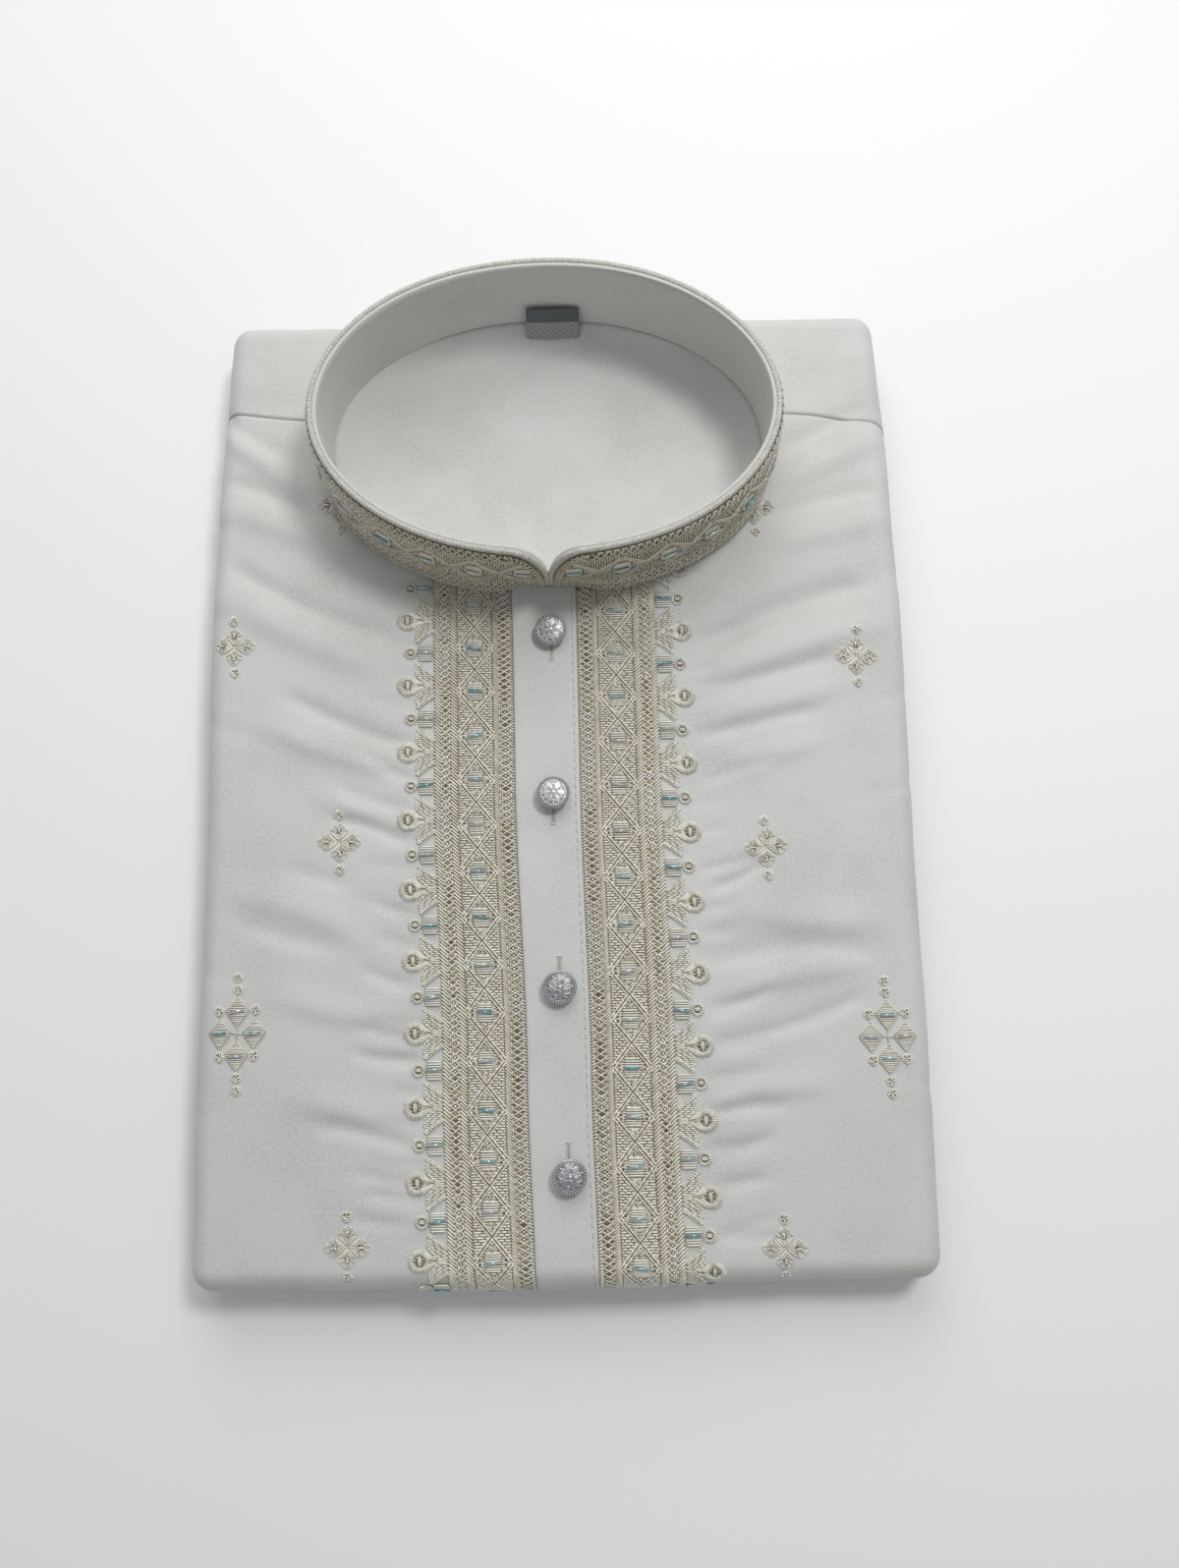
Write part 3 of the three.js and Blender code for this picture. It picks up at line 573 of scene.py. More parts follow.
def corner_drop(along):
    """How far the rim curves down at the collar's two front corners."""
    corner = np.clip(1 - np.minimum(along, COLLAR_LENGTH - along) / CORNER_RUN, 0, 1)
    return CORNER_DROP * (1 - np.sqrt(1 - corner ** 2))


def on_collar(along, rise, depth):
    """Places on the collar: mm along it from the front, share of its height, and mm in from its outer face.
    Its outer foot flares out over the cloth before the neck, but not at the very front."""
    angle = np.interp(along, ARC_LENGTHS, ARC_ANGLES)
    out = COLLAR_BULGE * np.sin(math.pi * np.clip(rise, 0, 1)) - depth
    before = ease(np.cos(angle), -0.1, 0.8) * ease(np.abs(np.sin(angle)), 0.06, 0.3)
    low = np.clip(1 - rise, 0, 1) ** 1.6
    out = out + FOOT_FLARE * before * low * np.clip(1 - depth / COLLAR_SPAN, 0, 1.2)
    middle, half_across, half_along = [foot + (rim - foot) * rise
                                       for foot, rim in zip(COLLAR_FOOT, COLLAR_RIM)]
    x = NECK_X + (half_across + out) * np.sin(angle)
    y = middle - (half_along + out) * np.cos(angle)
    rim = RIM_HEIGHT - corner_drop(along) + RIM_WAVE * np.sin(angle * 5 + 1)
    foot = cloth_height(x, y) + SEAM_GAP
    return np.stack([x, y, foot + (rim - foot) * rise], -1)


def front_crowded(across):
    """Shares along the collar, closer together at its front corners."""
    return across - CORNER_CROWDING * np.sin(2 * math.pi * across) / (2 * math.pi)


def collar_sheet(name, depth, inward):
    """One of the collar's two cloths, with its face outwards or inwards."""
    def place(across, along):
        around = COLLAR_GAP + (COLLAR_LENGTH - 2 * COLLAR_GAP) * front_crowded(across)
        return on_collar(around, along, depth)
    bm = bent_grid(300, 12, place, (COLLAR_LENGTH, COLLAR_HEIGHT))
    bmesh.ops.recalc_face_normals(bm, faces=bm.faces)
    middle = Vector((NECK_X, COLLAR_FOOT[0], (PACK_HEIGHT + RIM_HEIGHT) / 2))
    outwards = sum(face.normal.dot(face.calc_center_median() - middle) for face in bm.faces) > 0
    if outwards == inward:
        bmesh.ops.reverse_faces(bm, faces=bm.faces)
    piece = finish_piece(name, bm, crepe)
    cloth_wall(piece, COLLAR_CLOTH)
    return piece


COLLAR_FACE = 0.15
collar_outside = collar_sheet("collar_outside", COLLAR_FACE, False)
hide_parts("collar_outer")
collar_inside = collar_sheet("collar_inside", COLLAR_SPAN, True)
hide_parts("collar_inner")


def piping_path(steps):
    """The collar's edge, in even steps up the right front end, round the rim and down the left front end:
    mm along the collar, share of its height, and the distance so far."""
    rise = np.linspace(0, 1, 40)
    turn = np.linspace(0, math.pi / 2, 60)
    bend = COLLAR_GAP + CORNER_RUN * (1 - np.cos(turn))
    rim = np.linspace(bend[-1], COLLAR_LENGTH - bend[-1], 900)
    along = np.concatenate([np.full(len(rise) - 1, COLLAR_GAP), bend, rim[1:-1], COLLAR_LENGTH - bend[::-1],
                            np.full(len(rise) - 1, COLLAR_LENGTH - COLLAR_GAP)])
    rises = np.concatenate([rise[:-1], np.ones(len(bend) * 2 + len(rim) - 2), rise[-2::-1]])
    points = on_collar(along, rises, np.full(len(along), PIPING_DEPTH))
    length = np.append(0, np.cumsum(np.linalg.norm(np.diff(points, axis=0), axis=1)))
    even = np.linspace(0, length[-1], steps)
    return np.interp(even, length, along), np.interp(even, length, rises), even


def place_piping(across, along):
    """A round cord along the collar's edge, with the slanted ribs of its twist."""
    path_along, path_rise, distance = piping_path(PIPING_STEPS + 1)
    centre = on_collar(path_along, path_rise, np.full(len(path_along), PIPING_DEPTH))
    outer = on_collar(path_along, path_rise, np.full(len(path_along), PIPING_DEPTH - 1))
    outward = outer - centre
    outward /= np.linalg.norm(outward, axis=1, keepdims=True)
    tangent = np.gradient(centre, axis=0)
    tangent /= np.linalg.norm(tangent, axis=1, keepdims=True)
    inward = np.cross(tangent, outward)
    index = np.rint(across * PIPING_STEPS).astype(int)
    around = 2 * math.pi * along
    rib = 1 + PIPING_RIB * np.cos(2 * math.pi * distance[index] / PIPING_TWIST + around)
    reach_out = (PIPING_RADIUS * rib * np.cos(around))[:, None]
    reach_in = (PIPING_RADIUS * rib * np.sin(around) + PIPING_SINK)[:, None]
    return centre[index] + outward[index] * reach_out + inward[index] * reach_in


yarn, yarn_shader = new_material("yarn", (0.54, 0.53, 0.485), 0.6, Sheen_Weight=0.25, Sheen_Roughness=0.4)
yarn_fibres = texture(yarn, "Noise", coordinates(yarn, "Object"), Scale=900.0, Detail=2.0)
tint(yarn, yarn_shader, yarn_fibres, [(0.3, (0.44, 0.425, 0.38)), (0.7, (0.60, 0.59, 0.55))])
emboss(yarn, yarn_shader, yarn_fibres, 0.4, 0.0002)

bm = bent_grid(PIPING_STEPS, 10, place_piping)
close_ends(bm, 0.0005)
piping = finish_piece("collar_piping", bm, yarn)

# Placket
# A narrow strip of crepe, folded under along both edges and laid over the front opening. A line of running
# stitches holds its right edge, and each button has a thread-bound hole beside it.
# The places of its left and right edges, at heights up the pack
PLACKET_EDGES = [(-180, -9.4, 10.8), (-104, -11.6, 9.3), (0, -14.9, 7.3), (70, -15.6, 7.1)]
PLACKET_LEFT = [(y, left) for y, left, right in PLACKET_EDGES]
PLACKET_RIGHT = [(y, right) for y, left, right in PLACKET_EDGES]
PLACKET_TOP = 66.3
PLACKET_LIFT = 1.15
PLACKET_EDGE = 0.9
PLACKET_EDGE_DROP = 0.45
PLACKET_WAVE = 0.12
PLACKET_SEAM = 1.6
SEAM_GROOVE = 0.22
SEAM_GROOVE_HALF = 0.5
PLACKET_CLOTH = 0.7
PLACKET_LENGTH = PLACKET_TOP + ROLL_END


def place_placket(across, along):
    y = (PACK_MIDDLE - ROLL_END) * (1 - along) + PLACKET_TOP * along
    left = eased_table(PLACKET_LEFT, y)
    right = eased_table(PLACKET_RIGHT, y)
    x = left + (right - left) * across
    edge = np.minimum(x - left, right - x)
    lift = PLACKET_LIFT - PLACKET_EDGE_DROP * (1 - ease(edge, 0, PLACKET_EDGE))
    lift = lift + PLACKET_WAVE * wander(x * 2, y * 1.6, 9)
    groove = SEAM_GROOVE * np.exp(-((right - x - PLACKET_SEAM) / SEAM_GROOVE_HALF) ** 2)
    return on_pack(x, y, lift - groove)


bm = bent_grid(48, 240, place_placket, (23, PLACKET_LENGTH))
bmesh.ops.recalc_face_normals(bm, faces=bm.faces)
placket = finish_piece("placket_strip", bm, crepe)
cloth_wall(placket, PLACKET_CLOTH)
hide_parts("placket")

# Embroidered bands
# Two thick bands of silky cream thread, machine sewn beside the placket: rows of cross stitch, slanted satin
# cords, a lattice with a bugle bead in each diamond, and an outer edge of leaves, thread blocks and ring
# picots.
STRIP_WIDTH = 27.4
STRIP_LIFT = 0.35
# A strip's columns run from u to u, in mm from its inner edge: crosses with their pitch, and cords with
# their pitch and slant. Then come its lattice's middle, half width, ground and pitch, the half sizes of the
# block in each diamond, and whether the block's threads and its bead run along the strip
BAND_STRIP = {
    "crosses": [(1.3, 5.0, 2.25), (22.3, 25.0, 2.2)],
    "cords": [(0.1, 1.2, 1.0, 0.8), (5.1, 7.3, 0.95, 2.2), (19.4, 22.2, 1.2, 2.7), (25.0, 27.6, 1.2, 2.6)],
    "middle": 13.35, "half": 6.3, "fill": (7.4, 19.3), "pitch": 15.6, "block": (3.1, 3.1), "along": False,
}
# A diamond's dot crosses: shares of the half width and of the pitch, size, and how many holes hold a sequin
DIAMOND_CROSSES = [(-0.77, 0, 1.1, 0.12), (0.77, 0, 1.1, 0.12), (0, 0.31, 0.8, 0.4), (0, -0.31, 0.8, 0.4)]
BLOCK_THREADS = 8
BEAD_LENGTH = 4.7
BEAD_RADIUS = 0.47
SEQUIN_RISE = 0.2
BRICK_LENGTH = 2.0
BRICK_PITCH = 0.86
LATTICE_STITCH = 2.5
RING_OUT = 36.7
RING_RADII = (3.9, 1.85)
RING_ROOT = 30.8
RING_STITCHES = 30
RING_SEQUINS = 7
SMALL_RING_OUT = 35.6
SMALL_RING_RADII = (2.35, 1.25)
SMALL_RING_STITCHES = 14
LEAF_TIP = (33.2, 7.9)
LEAF_ROWS = 11
LEAF_PITCH = 0.66
LEAF_START = 0.8
LEAF_BRICK = 1.9
EDGE_BLOCK = (27.4, 33.4, 3.1)
EDGE_BEAD_LENGTH = 5.0
SCALLOP_PITCH = 23.65
BAND_END = PACK_MIDDLE - ROLL_END
BAND_TOP = 82
GROUND_TOP = 80
GROUND_INSET = 0.15
GROUND_LIFT = 0.3
GROUND_THICK = 0.2
BAND_DIAMONDS = 18
# For each band: its side, its edge table, the top diamond that shows, the top big ring and how many rings
BANDS = [
    ("left", -1, PLACKET_LEFT, 58.0, 53.1, 10),
    ("right", 1, PLACKET_RIGHT, 55.1, 71.0, 11),
]
COLLAR_CLEAR = 2.6
BAND_END_CLEAR = 0.4


def unit_shape(bm):
    """The points and triangles of a small shape that is repeated."""
    bmesh.ops.triangulate(bm, faces=bm.faces)
    bm.verts.index_update()
    points = np.array([vert.co for vert in bm.verts])
    triangles = np.array([[vert.index for vert in face.verts] for face in bm.faces])
    bm.free()
    return points, triangles


def stitch_shape():
    """One satin stitch along X: a three-sided grain with a ridged back and pointed ends, one unit long."""
    bm = bmesh.new()
    bmesh.ops.create_cone(bm, cap_ends=True, cap_tris=True, segments=3, radius1=1, radius2=1, depth=1)
    bmesh.ops.rotate(bm, cent=(0, 0, 0), matrix=Matrix.Rotation(math.pi / 2, 3, "Y"), verts=bm.verts)
    for vert in bm.verts:
        tip = abs(vert.co.y) < 0.01 and abs(vert.co.z) < 0.01
        vert.co.x *= 1 if tip else 0.7
    lowest = min(vert.co.z for vert in bm.verts)
    highest = max(vert.co.z for vert in bm.verts)
    widest = max(abs(vert.co.y) for vert in bm.verts)
    bmesh.ops.recalc_face_normals(bm, faces=bm.faces)
    if highest + lowest < 0:
        bmesh.ops.rotate(bm, cent=(0, 0, 0), matrix=Matrix.Rotation(math.pi, 3, "X"), verts=bm.verts)
        lowest, highest = -highest, -lowest
    for vert in bm.verts:
        vert.co.y *= 0.5 / widest
        vert.co.z = (vert.co.z - lowest) / (highest - lowest)
    return unit_shape(bm)


def bugle_shape():
    """A bugle bead along X: an eight-sided tube, a little hollow at its ends, one unit long and wide."""
    bm = bmesh.new()
    bmesh.ops.create_cone(bm, cap_ends=True, segments=8, radius1=0.5, radius2=0.5, depth=1)
    ends = [face for face in bm.faces if len(face.verts) == 8]
    bmesh.ops.inset_individual(bm, faces=ends, thickness=0.2)
    for face in ends:
        for vert in face.verts:
            vert.co.z *= 0.94
    bmesh.ops.rotate(bm, cent=(0, 0, 0), matrix=Matrix.Rotation(math.pi / 2, 3, "Y"), verts=bm.verts)
    bmesh.ops.translate(bm, vec=(0, 0, 0.5), verts=bm.verts)
    return unit_shape(bm)


def knot_shape():
    """A tiny faceted bead or knot, one unit wide, resting on its underside."""
    bm = bmesh.new()
    bmesh.ops.create_icosphere(bm, subdivisions=1, radius=0.5)
    bmesh.ops.translate(bm, vec=(0, 0, 0.5), verts=bm.verts)
    return unit_shape(bm)


STITCH = stitch_shape()
BUGLE = bugle_shape()
KNOT = knot_shape()


def repeat(name, shape, rows, place, material):
    """One mesh of many copies of a shape. Each row is a copy's two ends on the flat cloth, its width,
    height, lift and shade, and place puts the flat points onto the cloth."""
    points, triangles = shape
    rows = np.array(rows, float)
    from_u, from_v, to_u, to_v, wide, tall, lift, shades = rows.T
    length = np.hypot(to_u - from_u, to_v - from_v)
    turn_u = (to_u - from_u) / length
    turn_v = (to_v - from_v) / length
    along = points[None, :, 0] * length[:, None]
    across = points[None, :, 1] * wide[:, None]
    u = ((from_u + to_u) / 2)[:, None] + along * turn_u[:, None] - across * turn_v[:, None]
    v = ((from_v + to_v) / 2)[:, None] + along * turn_v[:, None] + across * turn_u[:, None]
    height = lift[:, None] + points[None, :, 2] * tall[:, None]
    placed = place(u.ravel(), v.ravel(), height.ravel()) / 1000
    faces = (triangles[None] + (np.arange(len(rows)) * len(points))[:, None, None]).reshape(-1, 3)
    mesh = bpy.data.meshes.new(name)
    mesh.from_pydata(placed.tolist(), [], faces.tolist())
    tint = mesh.attributes.new("shade", "FLOAT", "POINT")
    tint.data.foreach_set("value", np.repeat(shades, len(points)).astype(np.float32))
    bm = bmesh.new()
    bm.from_mesh(mesh)
    bmesh.ops.recalc_face_normals(bm, faces=bm.faces)
    bm.to_mesh(mesh)
    bm.free()
    return ride_mesh(mesh, material)


def shade(low=0.0, high=1.0):
    return random.uniform(low, high)


def spot(u, v, size, tall, lift, tone):
    """A row for a small round thing: a knot, a sequin or a dark hole."""
    return (u - size / 2, v, u + size / 2, v, size, tall, lift, tone)


def even_steps(start, end, pitch):
    """Where each of a whole number of steps near the pitch starts, and how long they are."""
    count = round((end - start) / pitch)
    step = (end - start) / count
    return [start + step * index for index in range(count)], step


def cross_column(low_u, high_u, pitch, start, end):
    """A column of crossed threads, with gaps between them for dark knots of painted shade."""
    rows = []
    starts, pitch = even_steps(start, end, pitch)
    for v in starts:
        rows.append((low_u, v, high_u, v + pitch, 0.66, 0.5, STRIP_LIFT, shade(0.2, 0.7)))
        rows.append((high_u, v, low_u, v + pitch, 0.62, 0.5, STRIP_LIFT + 0.22, shade(0.4, 0.9)))
        for u in (low_u, high_u):
            rows.append((u, v + pitch * 0.55, u, v + pitch * 1.45, 0.6, 0.45, STRIP_LIFT, shade(0.3)))
    return rows


def cord_column(low_u, high_u, pitch, rise, start, end):
    """A cord of slanted satin stitches that lie side by side."""
    rows = []
    starts, pitch = even_steps(start, end, pitch)
    for v in starts:
        wide = pitch * random.uniform(0.6, 0.72)
        rows.append((low_u, v, high_u, v + rise, wide, 0.85, STRIP_LIFT - 0.1, shade(0.2, 0.8)))
    return rows


def brick_fill(strip, start, end, centres):
    """Level stitches in staggered rows that fill the strip. Those on its outer side are longer, and inside
    the diamonds they lie low. On the collar they are long enough to make smooth fans."""
    rows = []
    for index in range(int((end - start) / BRICK_PITCH)):
        v = start + BRICK_PITCH * (index + 0.5)
        off = min(abs(v - centre) for centre in centres)
        half = max(strip["half"] * (1 - off / (strip["pitch"] / 2)), 0)
        inner_end = strip["middle"] - half - 0.4
        outer_end = strip["middle"] + half + 0.4
        parts = [(strip["fill"][0], inner_end, BRICK_LENGTH, 0.6),
                 (inner_end + 0.6, outer_end - 0.6, BRICK_LENGTH, 0.3),
                 (outer_end, strip["fill"][1], BRICK_LENGTH * 1.6, 0.6)]
        for low_u, high_u, brick, tall in parts:
            if strip["along"]:
                brick = BRICK_LENGTH * 2.2
            u = low_u - (index % 2) * brick / 2
            while u < high_u:
                from_u = max(u, low_u)
                to_u = min(u + brick * random.uniform(0.92, 1.06), high_u)
                if to_u - from_u > 0.4:
                    slip = random.uniform(-0.12, 0.12)
                    rows.append((from_u, v, to_u, v + slip, 0.8, tall, STRIP_LIFT - 0.05, shade(0.45, 1.1)))
                u += brick
    return rows


def lattice_thread(from_u, from_v, to_u, to_v, gap=0.95):
    """A double thread between two corners, laid as a chain of long stitches."""
    rows = []
    length = math.hypot(to_u - from_u, to_v - from_v)
    across_u = -(to_v - from_v) / length * gap / 2
    across_v = (to_u - from_u) / length * gap / 2
    count = max(1, round(length / LATTICE_STITCH))
    for side in (-1, 1):
        for index in range(count):
            low = max(0, index / count - 0.03)
            high = min(1, (index + 1) / count + 0.03)
            rows.append((from_u + (to_u - from_u) * low + across_u * side,
                         from_v + (to_v - from_v) * low + across_v * side,
                         from_u + (to_u - from_u) * high + across_u * side,
                         from_v + (to_v - from_v) * high + across_v * side,
                         0.72, 0.75, STRIP_LIFT + 0.15, shade(0.3, 0.8)))
    return rows


def satin_block(middle_u, middle_v, half_u, half_v, threads, along=False):
    """A block of satin threads side by side, level or along the strip, the outer ones a little shorter."""
    rows = []
    reach, spread = (half_v, half_u) if along else (half_u, half_v)
    for index in range(threads):
        off = spread * (2 * (index + 0.5) / threads - 1)
        length = reach - 0.4 * abs(off / spread) ** 3
        slip = random.uniform(-0.08, 0.08)
        wide = 2 * spread / threads * 0.84
        if along:
            ends = (middle_u + off, middle_v - length, middle_u + off + slip, middle_v + length)
        else:
            ends = (middle_u - length, middle_v + off, middle_u + length, middle_v + off + slip)
        rows.append((*ends, wide, 0.8, STRIP_LIFT, shade(0.55)))
    return rows


def dot_cross(middle_u, middle_v, reach=1.0):
    """Four fat petals inside a thin thread diamond, with room for a hole between each two."""
    rows = []
    tips = []
    for index in range(4):
        angle = index * math.pi / 2
        turn_u = math.cos(angle) * reach
        turn_v = math.sin(angle) * reach
        tips.append((middle_u + 1.75 * turn_u, middle_v + 1.75 * turn_v))
        rows.append((middle_u + 0.15 * turn_u, middle_v + 0.15 * turn_v,
                     middle_u + 1.5 * turn_u, middle_v + 1.5 * turn_v, 0.7 * reach, 0.65, STRIP_LIFT,
                     shade(0.5)))
    for index in range(4):
        rows.append((*tips[index], *tips[(index + 1) % 4], 0.5 * reach, 0.5, STRIP_LIFT, shade(0.4)))
    return rows


def cross_spots(middle_u, middle_v, reach=1.0):
    """Places of a dot cross's four holes."""
    return [(middle_u + turn_u * 0.62 * reach, middle_v + turn_v * 0.62 * reach)
            for turn_u in (-1, 1) for turn_v in (-1, 1)]


def bead_row(middle_u, middle_v, along=False, length=BEAD_LENGTH, lift=STRIP_LIFT + 0.68):
    """A row for a bugle bead, sewn on a little askew."""
    tilt = random.uniform(-0.2, 0.2) + (math.pi / 2 if along else 0)
    middle_v += random.uniform(-0.3, 0.3)
    reach_u = length / 2 * math.cos(tilt)
    reach_v = length / 2 * math.sin(tilt)
    return (middle_u - reach_u, middle_v - reach_v, middle_u + reach_u, middle_v + reach_v,
            2 * BEAD_RADIUS, 2 * BEAD_RADIUS, lift, shade())


def strip_rows(strip, start, end, centres):
    """The rows of a straight strip: its stitches, beads, sequins and dark knots of painted shade in its
    holes.
    """
    threads = []
    for low_u, high_u, pitch in strip["crosses"]:
        threads += cross_column(low_u, high_u, pitch, start, end)
    for low_u, high_u, pitch, rise in strip["cords"]:
        threads += cord_column(low_u, high_u, pitch, rise, start, end)
    threads += brick_fill(strip, start, end, centres)
    beads = []
    glints = []
    holes = []
    middle = strip["middle"]
    for centre in centres:
        corners = [(middle - strip["half"], centre), (middle, centre + strip["pitch"] / 2),
                   (middle + strip["half"], centre), (middle, centre - strip["pitch"] / 2)]
        for index in range(4):
            threads += lattice_thread(*corners[index], *corners[(index + 1) % 4])
        half_u, half_v = strip["block"]
        threads += satin_block(middle, centre, half_u, half_v, BLOCK_THREADS, strip["along"])
        beads.append(bead_row(middle, centre, strip["along"]))
        for share_u, share_v, reach, shiny in DIAMOND_CROSSES:
            cross_u = middle + strip["half"] * share_u
            cross_v = centre + strip["pitch"] * share_v
            threads += dot_cross(cross_u, cross_v, reach)
            # Holes that hold no sequin get a dark knot of painted shade.
            for u, v in cross_spots(cross_u, cross_v, reach):
                if random.random() < shiny:
                    glints.append(spot(u, v, 0.85, SEQUIN_RISE, STRIP_LIFT + 0.45, shade()))
                else:
                    holes.append(spot(u, v, 1.1 * reach, 0.6, STRIP_LIFT, shade(0.0, 0.4)))
    for low_u, high_u, pitch in strip["crosses"]:
        starts, pitch = even_steps(start, end, pitch)
        column_u = (low_u + high_u) / 2
        for v in starts:
            shiny = math.sin(v * 0.09 + low_u) + random.uniform(-1.0, 1.0) > 0.0
            if shiny:
                glints.append(spot(column_u, v, 1.25, SEQUIN_RISE, STRIP_LIFT + 0.35, shade()))
            else:
                holes.append(spot(column_u, v, 1.5, 0.5, STRIP_LIFT, shade()))
            for u in (low_u + 0.6, high_u - 0.6):
                if shiny:
                    glints.append(spot(u, v + pitch / 2, 0.85, SEQUIN_RISE, STRIP_LIFT + 0.5, shade()))
                else:
                    holes.append(spot(u, v + pitch / 2, 0.95, 0.6, STRIP_LIFT, shade()))
    return threads, beads, glints, holes


def ring(middle_u, middle_v, radii, stitches, root=None):
    """A picot: stitches side by side round a ring, a bar of thread across its brown heart, and where it has a
    root on the cord, a tail of threads to it."""
    outer, inner = radii
    rows = []
    bar_u, bar_v = (0, inner * 0.85) if root is not None else (inner * 0.9, 0)
    for off in (-0.26, 0.26):
        off_u, off_v = (off, 0) if root is not None else (0, off)
        rows.append((middle_u - bar_u + off_u, middle_v - bar_v + off_v,
                     middle_u + bar_u + off_u, middle_v + bar_v + off_v, 0.55, 0.5, 0.3, shade(0.5)))
    for index in range(stitches):
        angle = 2 * math.pi * index / stitches
        reach = outer * random.uniform(0.96, 1.04)
        rows.append((middle_u + inner * math.cos(angle), middle_v + inner * math.sin(angle),
                     middle_u + reach * math.cos(angle), middle_v + reach * math.sin(angle),
                     math.pi * (outer + inner) / stitches * 0.92, 0.85, 0.1, shade(0.35)))
    if root is not None:
        for side in (-1, 1):
            for step in range(3):
                spread = side * (outer * 0.86 - step * 0.75)
                tip_u = middle_u - inner * 0.6 + step * 0.3
                rows.append((root, middle_v + side * 0.2, tip_u, middle_v + spread, 0.62, 0.6, 0.15,
                             shade(0.45)))
    return rows


def leaf(root_v, side):
    """A pointed leaf beside a ring's root: level stitches, a bound outer edge and a slanted vein."""
    rows = []

    def rim(share):
        return RING_ROOT + 2.2 * math.sin(math.pi * min(1, share * 0.9 + 0.04)) + 1.9 * share

    for index in range(LEAF_ROWS):
        v = root_v + side * (LEAF_START + index * LEAF_PITCH)
        share = index / (LEAF_ROWS - 1)
        low_u = STRIP_WIDTH + (LEAF_TIP[0] - STRIP_WIDTH) * max(share - 0.5, 0) / 0.5 * 0.9
        high_u = rim(share)
        u = low_u + (index % 2) * 0.6
        while u < high_u:
            to_u = min(u + LEAF_BRICK, high_u)
            if to_u - u > 0.4:
                rows.append((u, v, to_u, v + side * 0.2, 0.72, 0.6, 0.15, shade(0.3, 1.0)))
            u += LEAF_BRICK
    for index in range(6):
        low = index / 6
        high = (index + 1) / 6
        rows.append((rim(low) - 0.2, root_v + side * (LEAF_START + 6.9 * low),
                     rim(high) - 0.2, root_v + side * (LEAF_START + 6.9 * high), 0.62, 0.75, 0.2,
                     shade(0.4)))
    for index in range(9):
        share = index / 8
        u = STRIP_WIDTH + 0.2 + (LEAF_TIP[0] - STRIP_WIDTH - 0.2) * share
        v = root_v + side * (4.0 + LEAF_TIP[1] * 0.49 * share ** 1.3)
        rows.append((u - 0.8, v + side * 0.55, u + 0.85, v - side * 0.5, 0.62, 0.7, 0.2, shade(0.45)))
    return rows


def band_place(side, edge):
    """Places on a band, from mm out from its inner edge and mm up the pack."""
    def place(u, v, lift):
        return on_pack(eased_table(edge, v) + side * u, v, lift)
    return place


def foot_share(x, y, clear=0.0):
    """How far a place lies from the neck's middle; 1 is at the collar's foot, or a clearance past it."""
    middle, half_across, half_along = COLLAR_FOOT
    return math.hypot((x - NECK_X) / (half_across + clear), (y - middle) / (half_along + clear))


def clear_of_collar(rows, side, edge):
    """The rows whose middle lies outside the collar's foot and short of the end of the roll."""
    kept = []
    for row in rows:
        v = (row[1] + row[3]) / 2
        x = float(eased_table(edge, v)) + side * (row[0] + row[2]) / 2
        if foot_share(x, v, COLLAR_CLEAR) > 1 and v > BAND_END + BAND_END_CLEAR:
            kept.append(row)
    return kept


def shade_material(name, stops, roughness, noise_scale=1400.0, bump=0.3, **sockets):
    """Thread, glass or metal whose colour is picked for each stitch or bead by its shade attribute."""
    material, shader = new_material(name, stops[0][1], roughness, **sockets)
    own = new_node(material, "ShaderNodeAttribute", attribute_name="shade").outputs["Fac"]
    grain = texture(material, "Noise", coordinates(material, "Object"), Scale=noise_scale, Detail=2.0)
    tint(material, shader, reckon(material, "MULTIPLY_ADD", grain, 0.4, own), stops)
    if bump:
        emboss(material, shader, grain, bump, 0.0001)
    return material


def silky_material(name, stops):
    return shade_material(name, stops, 0.4, Sheen_Weight=0.3, Sheen_Roughness=0.35, Specular_IOR_Level=0.6)


thread = silky_material("thread", [(0.1, (0.54, 0.485, 0.355)), (1.2, (0.93, 0.905, 0.82)),
                                   (0.5, (0.79, 0.735, 0.60)), (0.85, (0.87, 0.835, 0.72))])
glass = shade_material("bead_glass", [(0.1, (0.13, 0.36, 0.40)), (1.15, (0.64, 0.60, 0.64)),
                                      (0.5, (0.22, 0.44, 0.52)), (0.85, (0.50, 0.64, 0.65))],
                       0.08, bump=0, noise_scale=300.0, Metallic=0.45, Coat_Weight=1.0, Coat_Roughness=0.04)
silver = shade_material("sequin_silver", [(0.1, (0.72, 0.70, 0.66)), (1.0, (0.97, 0.96, 0.93))],
                        0.22, bump=0, Metallic=1.0)
# Dark brown knots: painted shade in the gaps and holes between stitches and in the buttonhole slits; also the
# ring picots' brown hearts.
gap_shade_and_brown = shade_material("gap_shade_and_brown_spot", [(0.2, (0.13, 0.10, 0.06)), (1.3, (0.40, 0.335, 0.215))], 0.85)


def ground_material(name, dark, light):
    """The underlay of dull thread that shows between the stitches, tinted brown partly as painted shade of
    the gaps.
    """
    material, shader = new_material(name, light, 0.8, Sheen_Weight=0.15)
    fluff = texture(material, "Noise", coordinates(material, "Object"), Scale=700.0, Detail=3.0)
    tint(material, shader, fluff, [(0.3, dark), (0.7, light)])
    emboss(material, shader, fluff, 0.6, 0.0003)
    return material


# Its brown is partly painted shade of the gaps between the stitches.
band_underlay_and_shade = ground_material("band_underlay_and_painted_shade", (0.22, 0.175, 0.11), (0.44, 0.385, 0.275))


